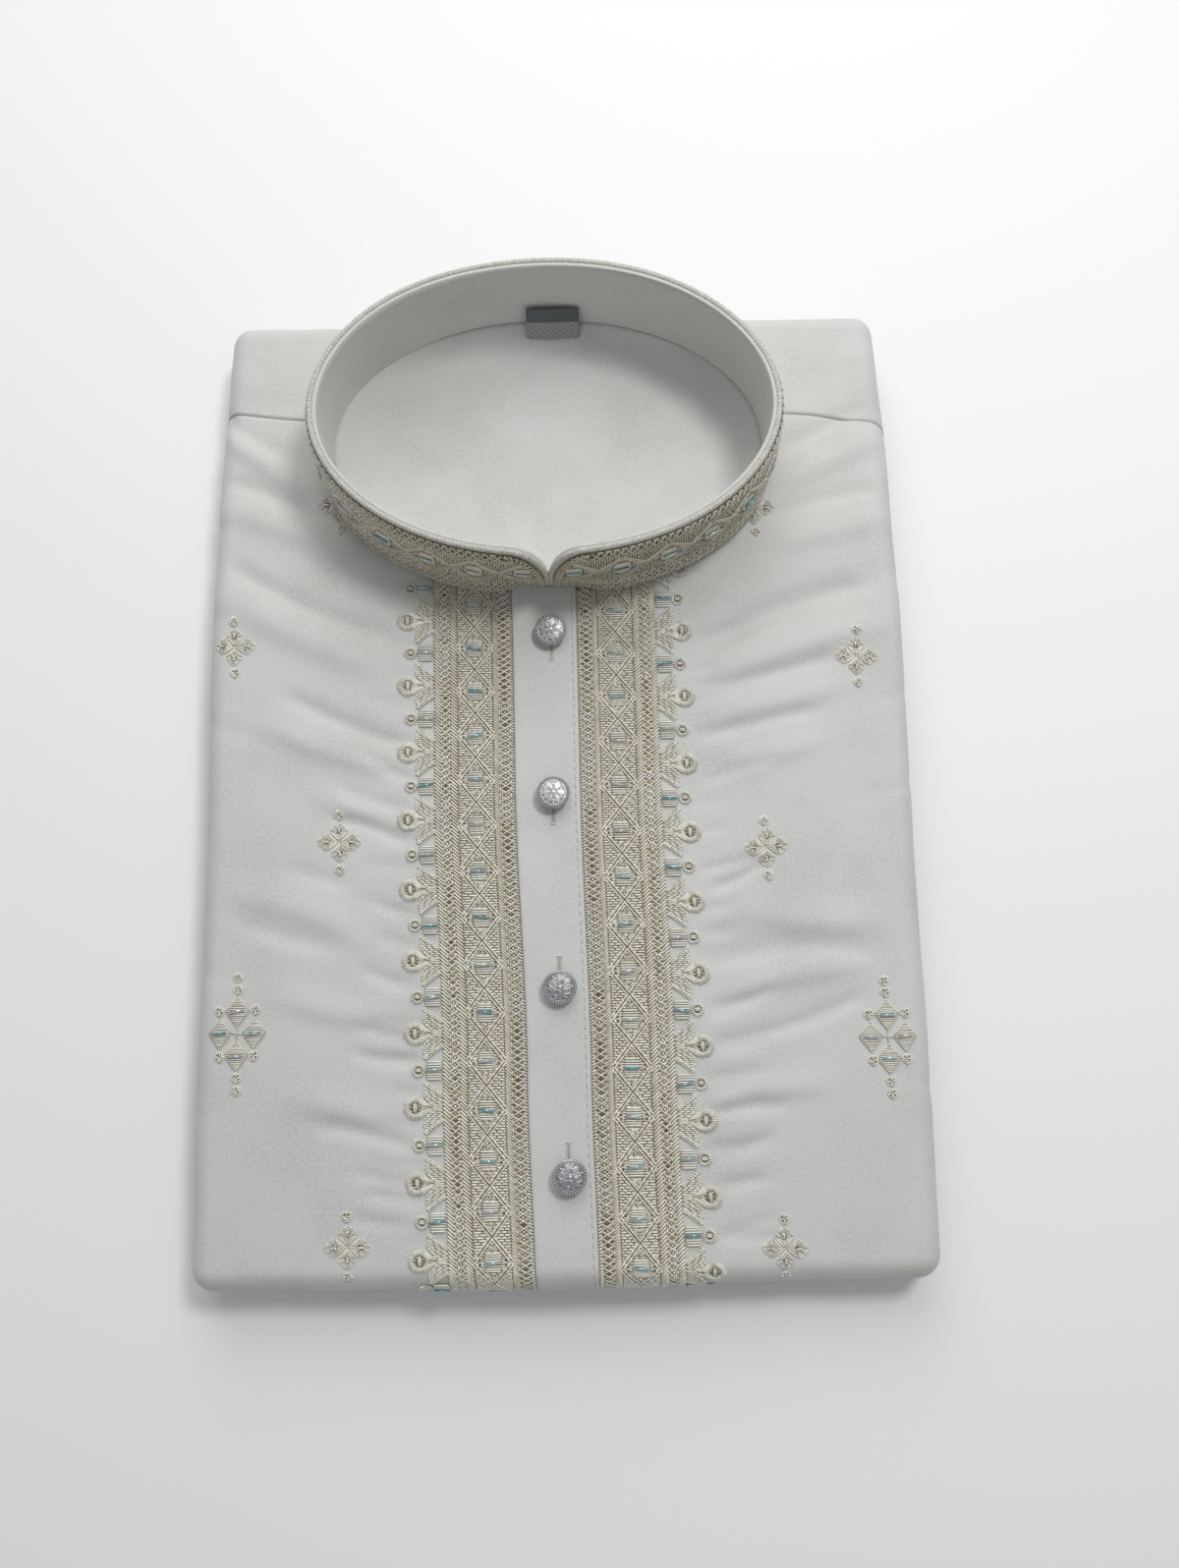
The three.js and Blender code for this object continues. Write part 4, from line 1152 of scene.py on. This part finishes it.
def band_ground(name, side, edge):
    """The close underlay of thread that the strip's stitches stand on."""
    def plan(across, along):
        v = BAND_END + (GROUND_TOP - BAND_END) * along
        out = GROUND_INSET + (STRIP_WIDTH - GROUND_INSET) * across
        return np.stack([eased_table(edge, v) + side * out, v, 0 * v], -1)

    bm = bent_grid(22, 250, plan, (STRIP_WIDTH, GROUND_TOP - BAND_END))
    hidden = [face for face in bm.faces if foot_share(*face.calc_center_median().xy) < 1]
    bmesh.ops.delete(bm, geom=hidden, context="FACES")
    wrap_flat(bm, GROUND_LIFT)
    bmesh.ops.solidify(bm, geom=bm.faces, thickness=GROUND_THICK)
    return finish_piece(name, bm, band_underlay_and_shade)


def dress_embroidery(node, thread_pieces, bead_pieces):
    """Hides the node that stitched pieces and beaded ones stand in for."""
    for piece in thread_pieces + bead_pieces:
        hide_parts(node)


random.seed(23)
for label, side, edge, top_diamond, top_ring, rings in BANDS:
    centres = [top_diamond + BAND_STRIP["pitch"] * (1 - index) for index in range(BAND_DIAMONDS)]
    threads, beads, glints, holes = strip_rows(BAND_STRIP, BAND_END, BAND_TOP, centres)
    for index in range(rings):
        v = top_ring - SCALLOP_PITCH * index
        threads += ring(RING_OUT, v, RING_RADII, RING_STITCHES, RING_ROOT)
        threads += leaf(v, 1) + leaf(v, -1)
        threads += [(STRIP_WIDTH, v + off, RING_ROOT + 0.6, v + off * 0.4, 0.66, 0.65, 0.2, shade(0.4))
                    for off in (-0.8, 0, 0.8)]
        holes.append(spot(RING_OUT, v, 3.0 if v > 0 else 3.8, 0.35, 0.0, shade(0.8, 1.1)))
        for turn in range(RING_SEQUINS):
            angle = 2 * math.pi * (turn + random.uniform(-0.3, 0.3)) / RING_SEQUINS
            glints.append(spot(RING_OUT + 1.5 * math.cos(angle), v + 1.5 * math.sin(angle), 0.7, 0.35, 0.3,
                               shade()))
        blocks = [v - SCALLOP_PITCH / 2]
        if label == "left" and index == 0:
            blocks.insert(0, v + SCALLOP_PITCH / 2)
        for block_v in blocks:
            low_u, high_u, half_v = EDGE_BLOCK
            middle_u = (low_u + high_u) / 2
            threads += satin_block(middle_u, block_v, (high_u - low_u) / 2, half_v, BLOCK_THREADS)
            beads.append(bead_row(middle_u, block_v, length=EDGE_BEAD_LENGTH))
            threads += ring(SMALL_RING_OUT, block_v, SMALL_RING_RADII, SMALL_RING_STITCHES)
            holes.append(spot(SMALL_RING_OUT, block_v, 2.6, 0.35, 0.0, shade(0.7, 1.0)))
            glints.append(spot(SMALL_RING_OUT + random.uniform(-0.4, 0.4), block_v + 0.5, 0.7, 0.3, 0.4,
                               shade()))
    threads, beads, glints, holes = [clear_of_collar(rows, side, edge)
                                     for rows in (threads, beads, glints, holes)]
    place = band_place(side, edge)
    underlay = band_ground("band_ground_" + label, side, edge)
    sewn = repeat("band_thread_" + label, STITCH, threads, place, thread)
    gap_mesh = repeat("band_gaps_" + label, KNOT, holes, place, gap_shade_and_brown)
    bead_mesh = repeat("band_beads_" + label, BUGLE, beads, place, glass)
    glint_mesh = repeat("band_sequins_" + label, KNOT, glints, place, silver)
    dress_embroidery("embroidered_band_" + label, [underlay, sewn, gap_mesh], [bead_mesh, glint_mesh])

# Collar embroidery
# Darker silky thread, glass beads and sequins, sewn round the collar's outer cloth: crosses under the piping,
# a lattice with fans of satin stitch, then two more rows of crosses down to the seam. The darker tone of the
# thread and its underlay is partly painted shade of the collar's front.
COLLAR_STRIP = {
    "crosses": [(1.6, 5.9, 2.7), (25.3, 28.9, 2.6), (29.5, 33.1, 2.6)],
    "cords": [(6.2, 7.2, 0.95, 0.7), (24.3, 25.2, 0.95, 0.7), (33.2, 34.3, 1.0, 0.8)],
    "middle": 15.75, "half": 8.1, "fill": (7.3, 24.2), "pitch": 16.03, "block": (3.4, 3.1), "along": True,
}
FIRST_DIAMOND = 8.5
COLLAR_DIAMONDS = 13
COLLAR_ENDS = COLLAR_GAP + 0.9
PIPING_COVER = 0.9
# The row of crosses that follows the piping down each front end: where it starts and ends, in from the edge
EDGE_ROW = (1.1, 3.9)
EDGE_ROW_PITCH = 2.4
EDGE_ROW_CLEAR = 4.0
EDGE_POINTS = 40


def collar_place(u, v, lift):
    """Places on the collar's outer face: u mm down from its full rim and v mm along it."""
    drop = corner_drop(v)
    rise = (COLLAR_HEIGHT - u) / (COLLAR_HEIGHT - drop)
    return on_collar(v, rise, COLLAR_FACE - lift)


# The collar's front end and its round corner, as a path in u and v
turns = np.linspace(0, math.pi / 2, 5 * EDGE_POINTS)
edge_u = np.concatenate([np.linspace(COLLAR_HEIGHT - 1, CORNER_DROP, EDGE_POINTS),
                         CORNER_DROP * (1 - np.sin(turns))])
edge_v = np.concatenate([np.full(EDGE_POINTS, COLLAR_GAP), COLLAR_GAP + CORNER_RUN * (1 - np.cos(turns))])


def clear_of_piping(rows, low_v, high_v):
    """The rows that lie below the piping and its row of crosses, between two places along the collar."""
    kept = []
    for row in rows:
        below = min(row[0], row[2]) > PIPING_COVER + max(corner_drop(row[1]), corner_drop(row[3]))
        middle_v = (row[1] + row[3]) / 2
        middle_v = min(middle_v, COLLAR_LENGTH - middle_v)
        away = np.hypot(edge_u - (row[0] + row[2]) / 2, edge_v - middle_v).min()
        inside = low_v - 0.1 < min(row[1], row[3]) and max(row[1], row[3]) < high_v + 0.1
        if below and inside and away > EDGE_ROW_CLEAR:
            kept.append(row)
    return kept


def edge_crosses(mirrored):
    """Crosses along the collar's front end and round its corner, with dark knots of painted shade in the
    holes between them.
    """
    length = np.append(0, np.cumsum(np.hypot(np.diff(edge_u), np.diff(edge_v))))
    count = int(length[-1] / EDGE_ROW_PITCH)
    even = np.linspace(0, length[-1], count + 1)
    path = np.stack([np.interp(even, length, edge_u), np.interp(even, length, edge_v)], -1)
    run = np.gradient(path, axis=0)
    run /= np.linalg.norm(run, axis=1, keepdims=True)
    inward = np.stack([run[:, 1], -run[:, 0]], -1)
    near = path + inward * EDGE_ROW[0]
    far = path + inward * EDGE_ROW[1]
    middle = (near + far) / 2
    if mirrored:
        for points in (near, far, middle):
            points[:, 1] = COLLAR_LENGTH - points[:, 1]
    threads = []
    for index in range(count):
        threads.append((*near[index], *far[index + 1], 0.66, 0.5, STRIP_LIFT, shade(0.2, 0.7)))
        threads.append((*far[index], *near[index + 1], 0.62, 0.5, STRIP_LIFT + 0.22, shade(0.4, 0.9)))
        threads.append((*far[index], *far[index + 1], 0.6, 0.45, STRIP_LIFT, shade(0.3)))
    return threads, [spot(*place, 1.4, 0.5, STRIP_LIFT, shade()) for place in middle]


random.seed(31)
collar_half = COLLAR_LENGTH / 2
right_centres = [FIRST_DIAMOND + COLLAR_STRIP["pitch"] * index for index in range(COLLAR_DIAMONDS)]
left_centres = [COLLAR_LENGTH - centre for centre in right_centres]
# Darker than the bands' underlay, partly as painted shade on the collar's front.
collar_underlay_and_shade = ground_material("collar_underlay_and_painted_shade", (0.22, 0.175, 0.105), (0.38, 0.32, 0.22))
collar_outside.data.materials[0] = collar_underlay_and_shade
# Darker than the bands' thread, partly as painted shade on the collar's front.
collar_thread_and_shade = silky_material("collar_thread_and_shade", [(0.1, (0.42, 0.36, 0.25)), (0.9, (0.78, 0.725, 0.60)),
                                                 (0.4, (0.61, 0.55, 0.43))])
for label, low_v, high_v, centres in (("right", COLLAR_ENDS, collar_half, right_centres),
                                      ("left", collar_half, COLLAR_LENGTH - COLLAR_ENDS, left_centres)):
    threads, beads, glints, holes = [clear_of_piping(rows, low_v, high_v)
                                     for rows in strip_rows(COLLAR_STRIP, low_v, high_v, centres)]
    edge_threads, edge_holes = edge_crosses(label == "left")
    sewn = repeat("collar_thread_and_shade_" + label, STITCH, threads + edge_threads, collar_place, collar_thread_and_shade)
    bead_mesh = repeat("collar_beads_" + label, BUGLE, beads, collar_place, glass)
    glint_mesh = repeat("collar_sequins_" + label, KNOT, glints, collar_place, silver)
    gap_mesh = repeat("collar_gaps_" + label, KNOT, holes + edge_holes, collar_place, gap_shade_and_brown)
    dress_embroidery("collar_outer", [sewn, gap_mesh], [bead_mesh, glint_mesh])

# Placket stitches and buttonholes
# Off-white sewing thread: a running line along the placket's right edge, a close row at its top, and for each
# button an upright hole bound with level stitches, beside the button's shank.
RUNNING_PITCH = 3.1
RUNNING_LENGTH = 2.1
TOP_ROW_PITCH = 1.15
TOP_ROW = (1.3, 2.6)
ROW_MARGIN = 3
HOLE_HALF = (0.95, 3.3)
HOLE_OFF = 6.7
HOLE_PITCH = 0.6
SLIT_SHARE = 0.85
# Each button: its place, its tilts and its turn in degrees, and -1 or 1 for a hole below or above it
BUTTONS = [
    (-1.7, 47.5, 4, -3, 14, -1),
    (-1.9, -10.2, -3, 4, 0, -1),
    (-0.6, -74.5, 5, 2, 34, 1),
    (1.5, -134.1, 3, 6, 48, 1),
]


def placket_place(u, v, lift):
    return on_pack(u, v, PLACKET_LIFT + lift)


random.seed(41)
seam_rows = []
y = BAND_END + ROW_MARGIN
while y < PLACKET_TOP - ROW_MARGIN:
    x = float(eased_table(PLACKET_RIGHT, y)) - PLACKET_SEAM
    ahead = float(eased_table(PLACKET_RIGHT, y + RUNNING_LENGTH)) - PLACKET_SEAM
    seam_rows.append((x, y, ahead, y + RUNNING_LENGTH, 0.4, 0.3, -0.2, shade(0.2, 0.6)))
    y += RUNNING_PITCH
x = float(eased_table(PLACKET_LEFT, PLACKET_TOP)) + 1
while x < float(eased_table(PLACKET_RIGHT, PLACKET_TOP)) - 1:
    seam_rows.append((x, PLACKET_TOP - TOP_ROW[1], x + 0.3, PLACKET_TOP - TOP_ROW[0], 0.45, 0.4, -0.1,
                      shade(0.2, 0.8)))
    x += TOP_ROW_PITCH
slit_rows = []
for x, y, *_, hole_side in BUTTONS:
    middle_y = y + hole_side * HOLE_OFF
    slit = HOLE_HALF[1] * SLIT_SHARE
    # The slit: a dark line of painted shade down the cut.
    slit_rows.append((x, middle_y - slit, x, middle_y + slit, 0.35, 0.12, 0.02, 1.0))
    for index in range(int(2 * HOLE_HALF[1] / HOLE_PITCH)):
        bound_y = middle_y - HOLE_HALF[1] + HOLE_PITCH * (index + 0.5)
        for hand in (-1, 1):
            slip = random.uniform(-0.1, 0.1)
            seam_rows.append((x + hand * 0.2, bound_y, x + hand * HOLE_HALF[0], bound_y + slip, 0.46, 0.25,
                              0.0, shade(0.6)))
    for end in (-1, 1):
        end_y = middle_y + end * HOLE_HALF[1]
        seam_rows.append((x - HOLE_HALF[0], end_y, x + HOLE_HALF[0], end_y, 0.6, 0.5, 0.0, shade(0.3)))
sewing_thread = shade_material("sewing_thread", [(0.1, (0.50, 0.50, 0.47)), (0.9, (0.70, 0.70, 0.67))],
                               0.55, Sheen_Weight=0.2)
placket_stitches = repeat("placket_stitches", STITCH, seam_rows, placket_place, sewing_thread)
buttonhole_slits = repeat("buttonhole_slits", STITCH, slit_rows, placket_place, gap_shade_and_brown)
for piece in (placket_stitches, buttonhole_slits):
    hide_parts("placket")

# Buttons
# Four domed metal shank buttons in antique silver: a beaded rim round an engraved flower of six pointed
# petals, with dark tarnish in the ground between its lines. Each stands on a short stem in the placket.
BUTTON_FACE = 4.45
FACE_SHARE = 0.8
FACE_HEIGHT = 2.4
FACE_DOME = 0.5
RELIEF_HEIGHT = 0.15
STEM_HEIGHT = 1.9
STEM_RADIUS = 1.3
BUTTON_REST = 1.88
RIM_BEADS = 36
RIM_BEAD_RADIUS = 0.4
RIM_BEAD_PLACE = (4.97, 1.9)
GROOVE = (5.35, 1.82)
# From the face's edge round the rim to the middle of the underside: radius and height
BUTTON_EDGE = [
    (4.45, 1.95), (4.6, 1.78), (5.3, 1.72), (5.58, 1.35), (5.45, 0.8), (4.9, 0.25), (3.2, 0.06), (0, 0),
]


def face_relief(radius, angle):
    """Height and shade of the engraving: six outlined petals round a knob, and small scrolls between them."""
    sector = (angle + math.pi / 6) % (math.pi / 3) - math.pi / 6
    out = radius * np.cos(sector)
    off = np.abs(radius * np.sin(sector))
    petal = 0.92 * np.sin(math.pi * np.clip((out - 1.05) / 3.05, 0, 1)) ** 0.85
    line = np.exp(-((off - petal) / 0.15) ** 2) * ease(out, 0.9, 1.2) * (1 - ease(out, 3.95, 4.2))
    inside = ease(petal - off, 0.1, 0.4) * 0.45
    vein = np.exp(-(off / 0.1) ** 2) * ease(out, 1.5, 1.8) * (1 - ease(out, 2.9, 3.2)) * 0.7
    knob = np.sqrt(np.clip(1 - (radius / 0.72) ** 2, 0, 1)) * 1.3
    collar_ring = np.exp(-((radius - 1.0) / 0.1) ** 2)
    scroll_angle = angle % (math.pi / 3) - math.pi / 6
    scroll_x = radius * np.cos(scroll_angle) - 3.15
    scroll_y = radius * np.sin(scroll_angle)
    scroll = np.exp(-((np.hypot(scroll_x, scroll_y) - 0.5) / 0.12) ** 2)
    dot = np.exp(-(np.hypot(scroll_x, scroll_y) / 0.2) ** 2)
    high_dot = np.exp(-(np.hypot(scroll_x - 0.95, scroll_y) / 0.22) ** 2)
    edge = ease(radius, BUTTON_FACE - 0.3, BUTTON_FACE)
    raised = np.max([line, inside, vein, knob, collar_ring, scroll, dot, high_dot, edge], axis=0)
    return raised * RELIEF_HEIGHT, np.clip(raised, 0, 1)


def place_button(across, along):
    """The head from a grid wound round its middle: the face, from inside out, then the rim and underside."""
    angle = across * 2 * math.pi
    face = along < FACE_SHARE
    radius = BUTTON_FACE * np.clip(along / FACE_SHARE, 0, 1)
    relief, tone = face_relief(radius, angle)
    height = FACE_HEIGHT - FACE_DOME * (radius / BUTTON_FACE) ** 2 + relief
    steps = (along - FACE_SHARE) / (1 - FACE_SHARE) * (len(BUTTON_EDGE) - 1)
    edge_radius = np.interp(steps, range(len(BUTTON_EDGE)), [row[0] for row in BUTTON_EDGE])
    edge_height = np.interp(steps, range(len(BUTTON_EDGE)), [row[1] for row in BUTTON_EDGE])
    radius = np.where(face, radius, edge_radius)
    height = np.where(face, height, edge_height)
    return np.stack([radius * np.cos(angle), radius * np.sin(angle), height + STEM_HEIGHT], -1)


button_silver = shade_material("button_silver", [(0.2, (0.19, 0.19, 0.194)), (1.2, (0.56, 0.56, 0.575)),
                                                 (0.6, (0.43, 0.43, 0.442))],
                               0.42, noise_scale=500.0, bump=0.15, Metallic=0.9)
for index, (x, y, tilt_x, tilt_y, turn, _) in enumerate(BUTTONS):
    bm = bent_grid(180, 60, place_button)
    bmesh.ops.remove_doubles(bm, verts=bm.verts, dist=0.002)
    for bead in range(RIM_BEADS):
        angle = 2 * math.pi * bead / RIM_BEADS
        middle = Vector((RIM_BEAD_PLACE[0] * math.cos(angle), RIM_BEAD_PLACE[0] * math.sin(angle),
                         STEM_HEIGHT + RIM_BEAD_PLACE[1]))
        bmesh.ops.create_icosphere(bm, subdivisions=2, radius=RIM_BEAD_RADIUS,
                                   matrix=Matrix.Translation(middle))
    bmesh.ops.create_cone(bm, cap_ends=True, segments=20, radius1=STEM_RADIUS, radius2=STEM_RADIUS,
                          depth=STEM_HEIGHT + 0.1, matrix=Matrix.Translation((0, 0, STEM_HEIGHT / 2 + 0.05)))
    bmesh.ops.recalc_face_normals(bm, faces=bm.faces)
    tone_layer = bm.verts.layers.float.new("shade")
    places = np.array([vert.co for vert in bm.verts])
    reach = np.hypot(places[:, 0], places[:, 1])
    tones = face_relief(reach, np.arctan2(places[:, 1], places[:, 0]))[1]
    for vert, radius, tone in zip(bm.verts, reach, tones):
        on_face = radius < BUTTON_FACE and vert.co.z > STEM_HEIGHT + 1.5
        in_groove = BUTTON_FACE <= radius < GROOVE[0] and vert.co.z < STEM_HEIGHT + GROOVE[1]
        vert[tone_layer] = 0.15 + 0.7 * tone if on_face else 0.1 if in_groove else 0.7
    seat = float(cloth_height(x, y)) + BUTTON_REST
    turned = Matrix.Rotation(math.radians(tilt_x), 4, "X") @ Matrix.Rotation(math.radians(tilt_y), 4, "Y")
    turned = turned @ Matrix.Rotation(math.radians(turn), 4, "Z")
    bmesh.ops.transform(bm, matrix=Matrix.Translation((x, y, seat)) @ turned, verts=bm.verts)
    button = finish_piece(f"button_{index + 1}_head", bm, button_silver)
    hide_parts(f"button_{index + 1}")

# Scattered motifs
# Small sprigs in the bands' silky thread, sewn straight onto the front: eight of four pointed petals, and
# near each side a large one of four satin diamonds with a bugle bead in each. Small dot crosses stand round
# them.
# Each motif: its name, its place, and whether it is a large one
MOTIFS = [
    ("left_1", -77.1, 97.3, False), ("left_2", -112.8, 45, False), ("left_3", -74.7, -24.7, False),
    ("left_4", -107.3, -87.6, True), ("left_5", -69.6, -155, False),
    ("right_1", 71.5, 93.4, False), ("right_2", 104.5, 37.3, False), ("right_3", 69.9, -29.3, False),
    ("right_4", 107.1, -92.7, True), ("right_5", 70, -158.2, False),
]
PETAL_LENGTHS = (7.4, 6.6, 7.6, 6.7)
PETAL_HALF = 2.9
SPRIG_CROSSES = (9.2, 9.4)
CROSS_SIZE = 1.1
DIAMOND_HALF = (4.0, 5.0)
DIAMOND_THREADS = 15
DIAMOND_BEAD_LENGTH = 4.6
DIAMONDS = [(0, 7.1), (-5.7, 0), (5.7, 0), (0, -7.1)]
CORNER_CROSSES = [
    (-6.0, 7.3), (6.0, 7.6), (-5.4, -7.5), (5.8, -7.2), (0, 14.4), (-0.2, 18.1), (0.2, -14.3), (0.3, -18.2),
]
SEQUIN_SHARE = 0.45
MOTIF_LIFT = -STRIP_LIFT + 0.05


def petal_rows(turn, length):
    """A pointed petal of three nested thread outlines and core stitches, and the places of its painted-shade
    holes.
    """
    threads = []
    holes = []

    def turned(along, off):
        return (along * math.cos(turn) - off * math.sin(turn), along * math.sin(turn) + off * math.cos(turn))

    for low, high, half in ((0.5, length, PETAL_HALF), (0.9, length - 0.8, PETAL_HALF - 0.7),
                            (1.8, length - 1.7, PETAL_HALF - 1.5)):
        for side in (-1, 1):
            shoulder = turned(low + (high - low) * 0.52, side * half)
            rim = turned(low + (high - low) * 0.76, side * half * 0.62)
            for start, end in ((turned(low, 0.1 * side), shoulder), (shoulder, rim), (rim, turned(high, 0))):
                threads.append((*start, *end, 0.5, 0.5, STRIP_LIFT, shade(0.2)))
    threads.append((*turned(0.3, 0), *turned(length * 0.36, 0), 0.5, 0.5, STRIP_LIFT, shade(0.4)))
    threads.append((*turned(length * 0.45, 0), *turned(length * 0.74, 0), 0.6, 0.6, STRIP_LIFT + 0.2,
                    shade(0.6)))
    for along, off in ((0.5, -0.55), (0.5, 0.55), (0.68, -0.45), (0.68, 0.45)):
        holes.append(turned(along * length, off))
    return threads, holes


def satin_diamond(middle_u, middle_v):
    """Level satin threads that fill a diamond, with its edges bound, the lower two painted darker as shade.
    """
    half_u, half_v = DIAMOND_HALF
    rows = []
    for index in range(DIAMOND_THREADS):
        share = 2 * (index + 0.5) / DIAMOND_THREADS - 1
        reach = half_u * (1 - abs(share)) + 0.25
        v = middle_v + share * half_v
        slip = random.uniform(-0.12, 0.12)
        rows.append((middle_u - reach, v, middle_u + reach, v + slip, 0.62, 0.6, STRIP_LIFT, shade(0.35)))
    corners = [(half_u, 0), (0, half_v), (-half_u, 0), (0, -half_v)]
    for index in range(4):
        from_u, from_v = corners[index]
        to_u, to_v = corners[(index + 1) % 4]
        # The lower two edges get a darker tone: painted shade.
        rows.append((middle_u + from_u, middle_v + from_v, middle_u + to_u, middle_v + to_v, 0.5, 0.5,
                     STRIP_LIFT, 0.0 if index >= 2 else 0.45))
    return rows


def motif_place(middle_x, middle_y):
    """Places on the front, from mm right of and above a motif's middle."""
    def place(u, v, lift):
        return on_pack(middle_x + u, middle_y + v, lift + MOTIF_LIFT)
    return place


random.seed(53)
for label, middle_x, middle_y, large in MOTIFS:
    threads = []
    holes = []
    beads = []
    if large:
        for u, v in DIAMONDS:
            threads += satin_diamond(u, v)
            beads.append(bead_row(u, v, length=DIAMOND_BEAD_LENGTH, lift=STRIP_LIFT + 0.5))
        crosses = CORNER_CROSSES
        threads += [(-2.2, 0.3, 2.2, -0.2, 0.6, 0.5, STRIP_LIFT, 0.3),
                    (0.1, -2.4, -0.1, 2.4, 0.6, 0.5, STRIP_LIFT, 0.1)]
    else:
        for index, length in enumerate(PETAL_LENGTHS):
            petal, gaps = petal_rows(index * math.pi / 2 + random.uniform(-0.09, 0.09), length)
            threads += petal
            holes += gaps
        crosses = [(random.uniform(-0.6, 0.3), SPRIG_CROSSES[0]),
                   (random.uniform(-0.2, 0.6), -SPRIG_CROSSES[1])]
    for u, v in crosses:
        threads += dot_cross(u, v, CROSS_SIZE)
        holes += cross_spots(u, v, CROSS_SIZE)
    shining = [hole_place for hole_place in holes if random.random() < SEQUIN_SHARE]
    # Every hole gets a dark knot of painted shade, and some a sequin above it.
    holes = [spot(u, v, 1.05, 0.4, STRIP_LIFT, shade(0.2, 0.7)) for u, v in holes]
    glints = [spot(u, v, 0.9, 0.25, STRIP_LIFT + 0.3, shade()) for u, v in shining]
    place = motif_place(middle_x, middle_y)
    sewn = repeat("motif_thread_" + label, STITCH, threads, place, thread)
    gap_mesh = repeat("motif_gaps_" + label, KNOT, holes, place, gap_shade_and_brown)
    bead_pieces = [repeat("motif_sequins_" + label, KNOT, glints, place, silver)]
    if beads:
        bead_pieces.append(repeat("motif_beads_" + label, BUGLE, beads, place, glass))
    dress_embroidery("motif_" + label, [sewn, gap_mesh], bead_pieces)

# Size tab
# A short piece of woven satin ribbon, caught in the seam at the back of the neck and left bare: a dark grey
# band above a lighter twill. It hangs against the collar's inner cloth.
TAB_WIDTH = 19
TAB_HEIGHT = 13.2
TAB_X = 0.5
TAB_TOP = (165.45, 38.4)
TAB_TILT = math.radians(-16.6)
TAB_BOW = 0.35
TAB_WAVE = 0.12
TAB_CLOTH = 0.4
TAB_BAND = 0.072


def place_tab(across, along):
    x = TAB_X + (across - 0.5) * TAB_WIDTH
    bow = TAB_BOW * np.sin(math.pi * across) * (1 - along) + TAB_WAVE * np.sin(along * 7)
    y = TAB_TOP[0] + math.sin(TAB_TILT) * TAB_HEIGHT * (1 - along) - bow
    return np.stack([x, y, TAB_TOP[1] - math.cos(TAB_TILT) * TAB_HEIGHT * (1 - along)], -1)


ribbon, ribbon_shader = new_material("ribbon", (0.1, 0.1, 0.1), 0.45, Sheen_Weight=0.3,
                                     Specular_IOR_Level=0.6)
ribbon_place = coordinates(ribbon, "UV")
ribbon_split = new_node(ribbon, "ShaderNodeSeparateXYZ")
wire(ribbon, ribbon_place, ribbon_split.inputs["Vector"])
ribbon_band = reckon(ribbon, "GREATER_THAN", ribbon_split.outputs["Y"], TAB_BAND)
ribbon_twill = texture(ribbon, "Wave", ribbon_place, bands_direction="DIAGONAL", Scale=28.0)
ribbon_mix = reckon(ribbon, "MAXIMUM", ribbon_band, reckon(ribbon, "MULTIPLY", ribbon_twill, 0.4))
tint(ribbon, ribbon_shader, ribbon_mix, [(0.0, (0.22, 0.225, 0.21)), (1.0, (0.07, 0.08, 0.088)),
                                         (0.4, (0.33, 0.335, 0.315))])
emboss(ribbon, ribbon_shader, ribbon_twill, 0.4, 0.0002)

bm = bent_grid(38, 26, place_tab, (TAB_WIDTH, TAB_HEIGHT))
bmesh.ops.recalc_face_normals(bm, faces=bm.faces)
size_ribbon = finish_piece("size_ribbon", bm, ribbon)
cloth_wall(size_ribbon, TAB_CLOTH, 0)
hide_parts("size_tab")

# Floor and light
# A plain pale floor under plain studio light: a key lamp from the upper right, a broad soft one from beyond
# the collar, and an even pale room.
FLOOR_HALF = 3
floor_material, floor_shader = new_material("floor", (0.9, 0.9, 0.9), 0.9)
floor_place = new_node(floor_material, "ShaderNodeMapping", Location=(FLOOR_HALF, FLOOR_HALF, FLOOR_HALF))
wire(floor_material, coordinates(floor_material, "Object"), floor_place.inputs["Vector"])
floor_clouds = texture(floor_material, "Noise", floor_place.outputs["Vector"], Scale=0.5)
tint(floor_material, floor_shader, floor_clouds, [(0.3, (0.89, 0.89, 0.89)), (0.7, (0.92, 0.92, 0.92))])
bm = bmesh.new()
bmesh.ops.create_grid(bm, x_segments=1, y_segments=1, size=FLOOR_HALF)
floor_mesh = bpy.data.meshes.new("floor")
bm.to_mesh(floor_mesh)
bm.free()
floor_mesh.materials.append(floor_material)
floor = bpy.data.objects.new("floor", floor_mesh)
bpy.context.scene.collection.objects.link(floor)

# For each lamp: the direction that it shines from, its distance and width in metres, and its power in watts
LAMPS = {
    "key": (Vector((0.34, 0.36, 1)), 1.0, 0.22, 3.6),
    "soft": (Vector((-0.1, 1.0, 0.95)), 1.05, 0.9, 4.5),
}
for name, (direction, distance, size, power) in LAMPS.items():
    lamp_data = bpy.data.lights.new(name, "AREA")
    lamp_data.shape = "DISK"
    lamp_data.size = size
    lamp_data.energy = power
    lamp = bpy.data.objects.new(name, lamp_data)
    lamp.location = direction.normalized() * distance
    lamp.rotation_euler = direction.to_track_quat("Z", "Y").to_euler()
    bpy.context.scene.collection.objects.link(lamp)

world = bpy.data.worlds.new("room")
world.use_nodes = True
world.node_tree.nodes["Background"].inputs["Color"].default_value = (0.95, 0.98, 1.0, 1)
world.node_tree.nodes["Background"].inputs["Strength"].default_value = 0.355
bpy.context.scene.world = world
bpy.context.scene.view_settings.view_transform = "Standard"
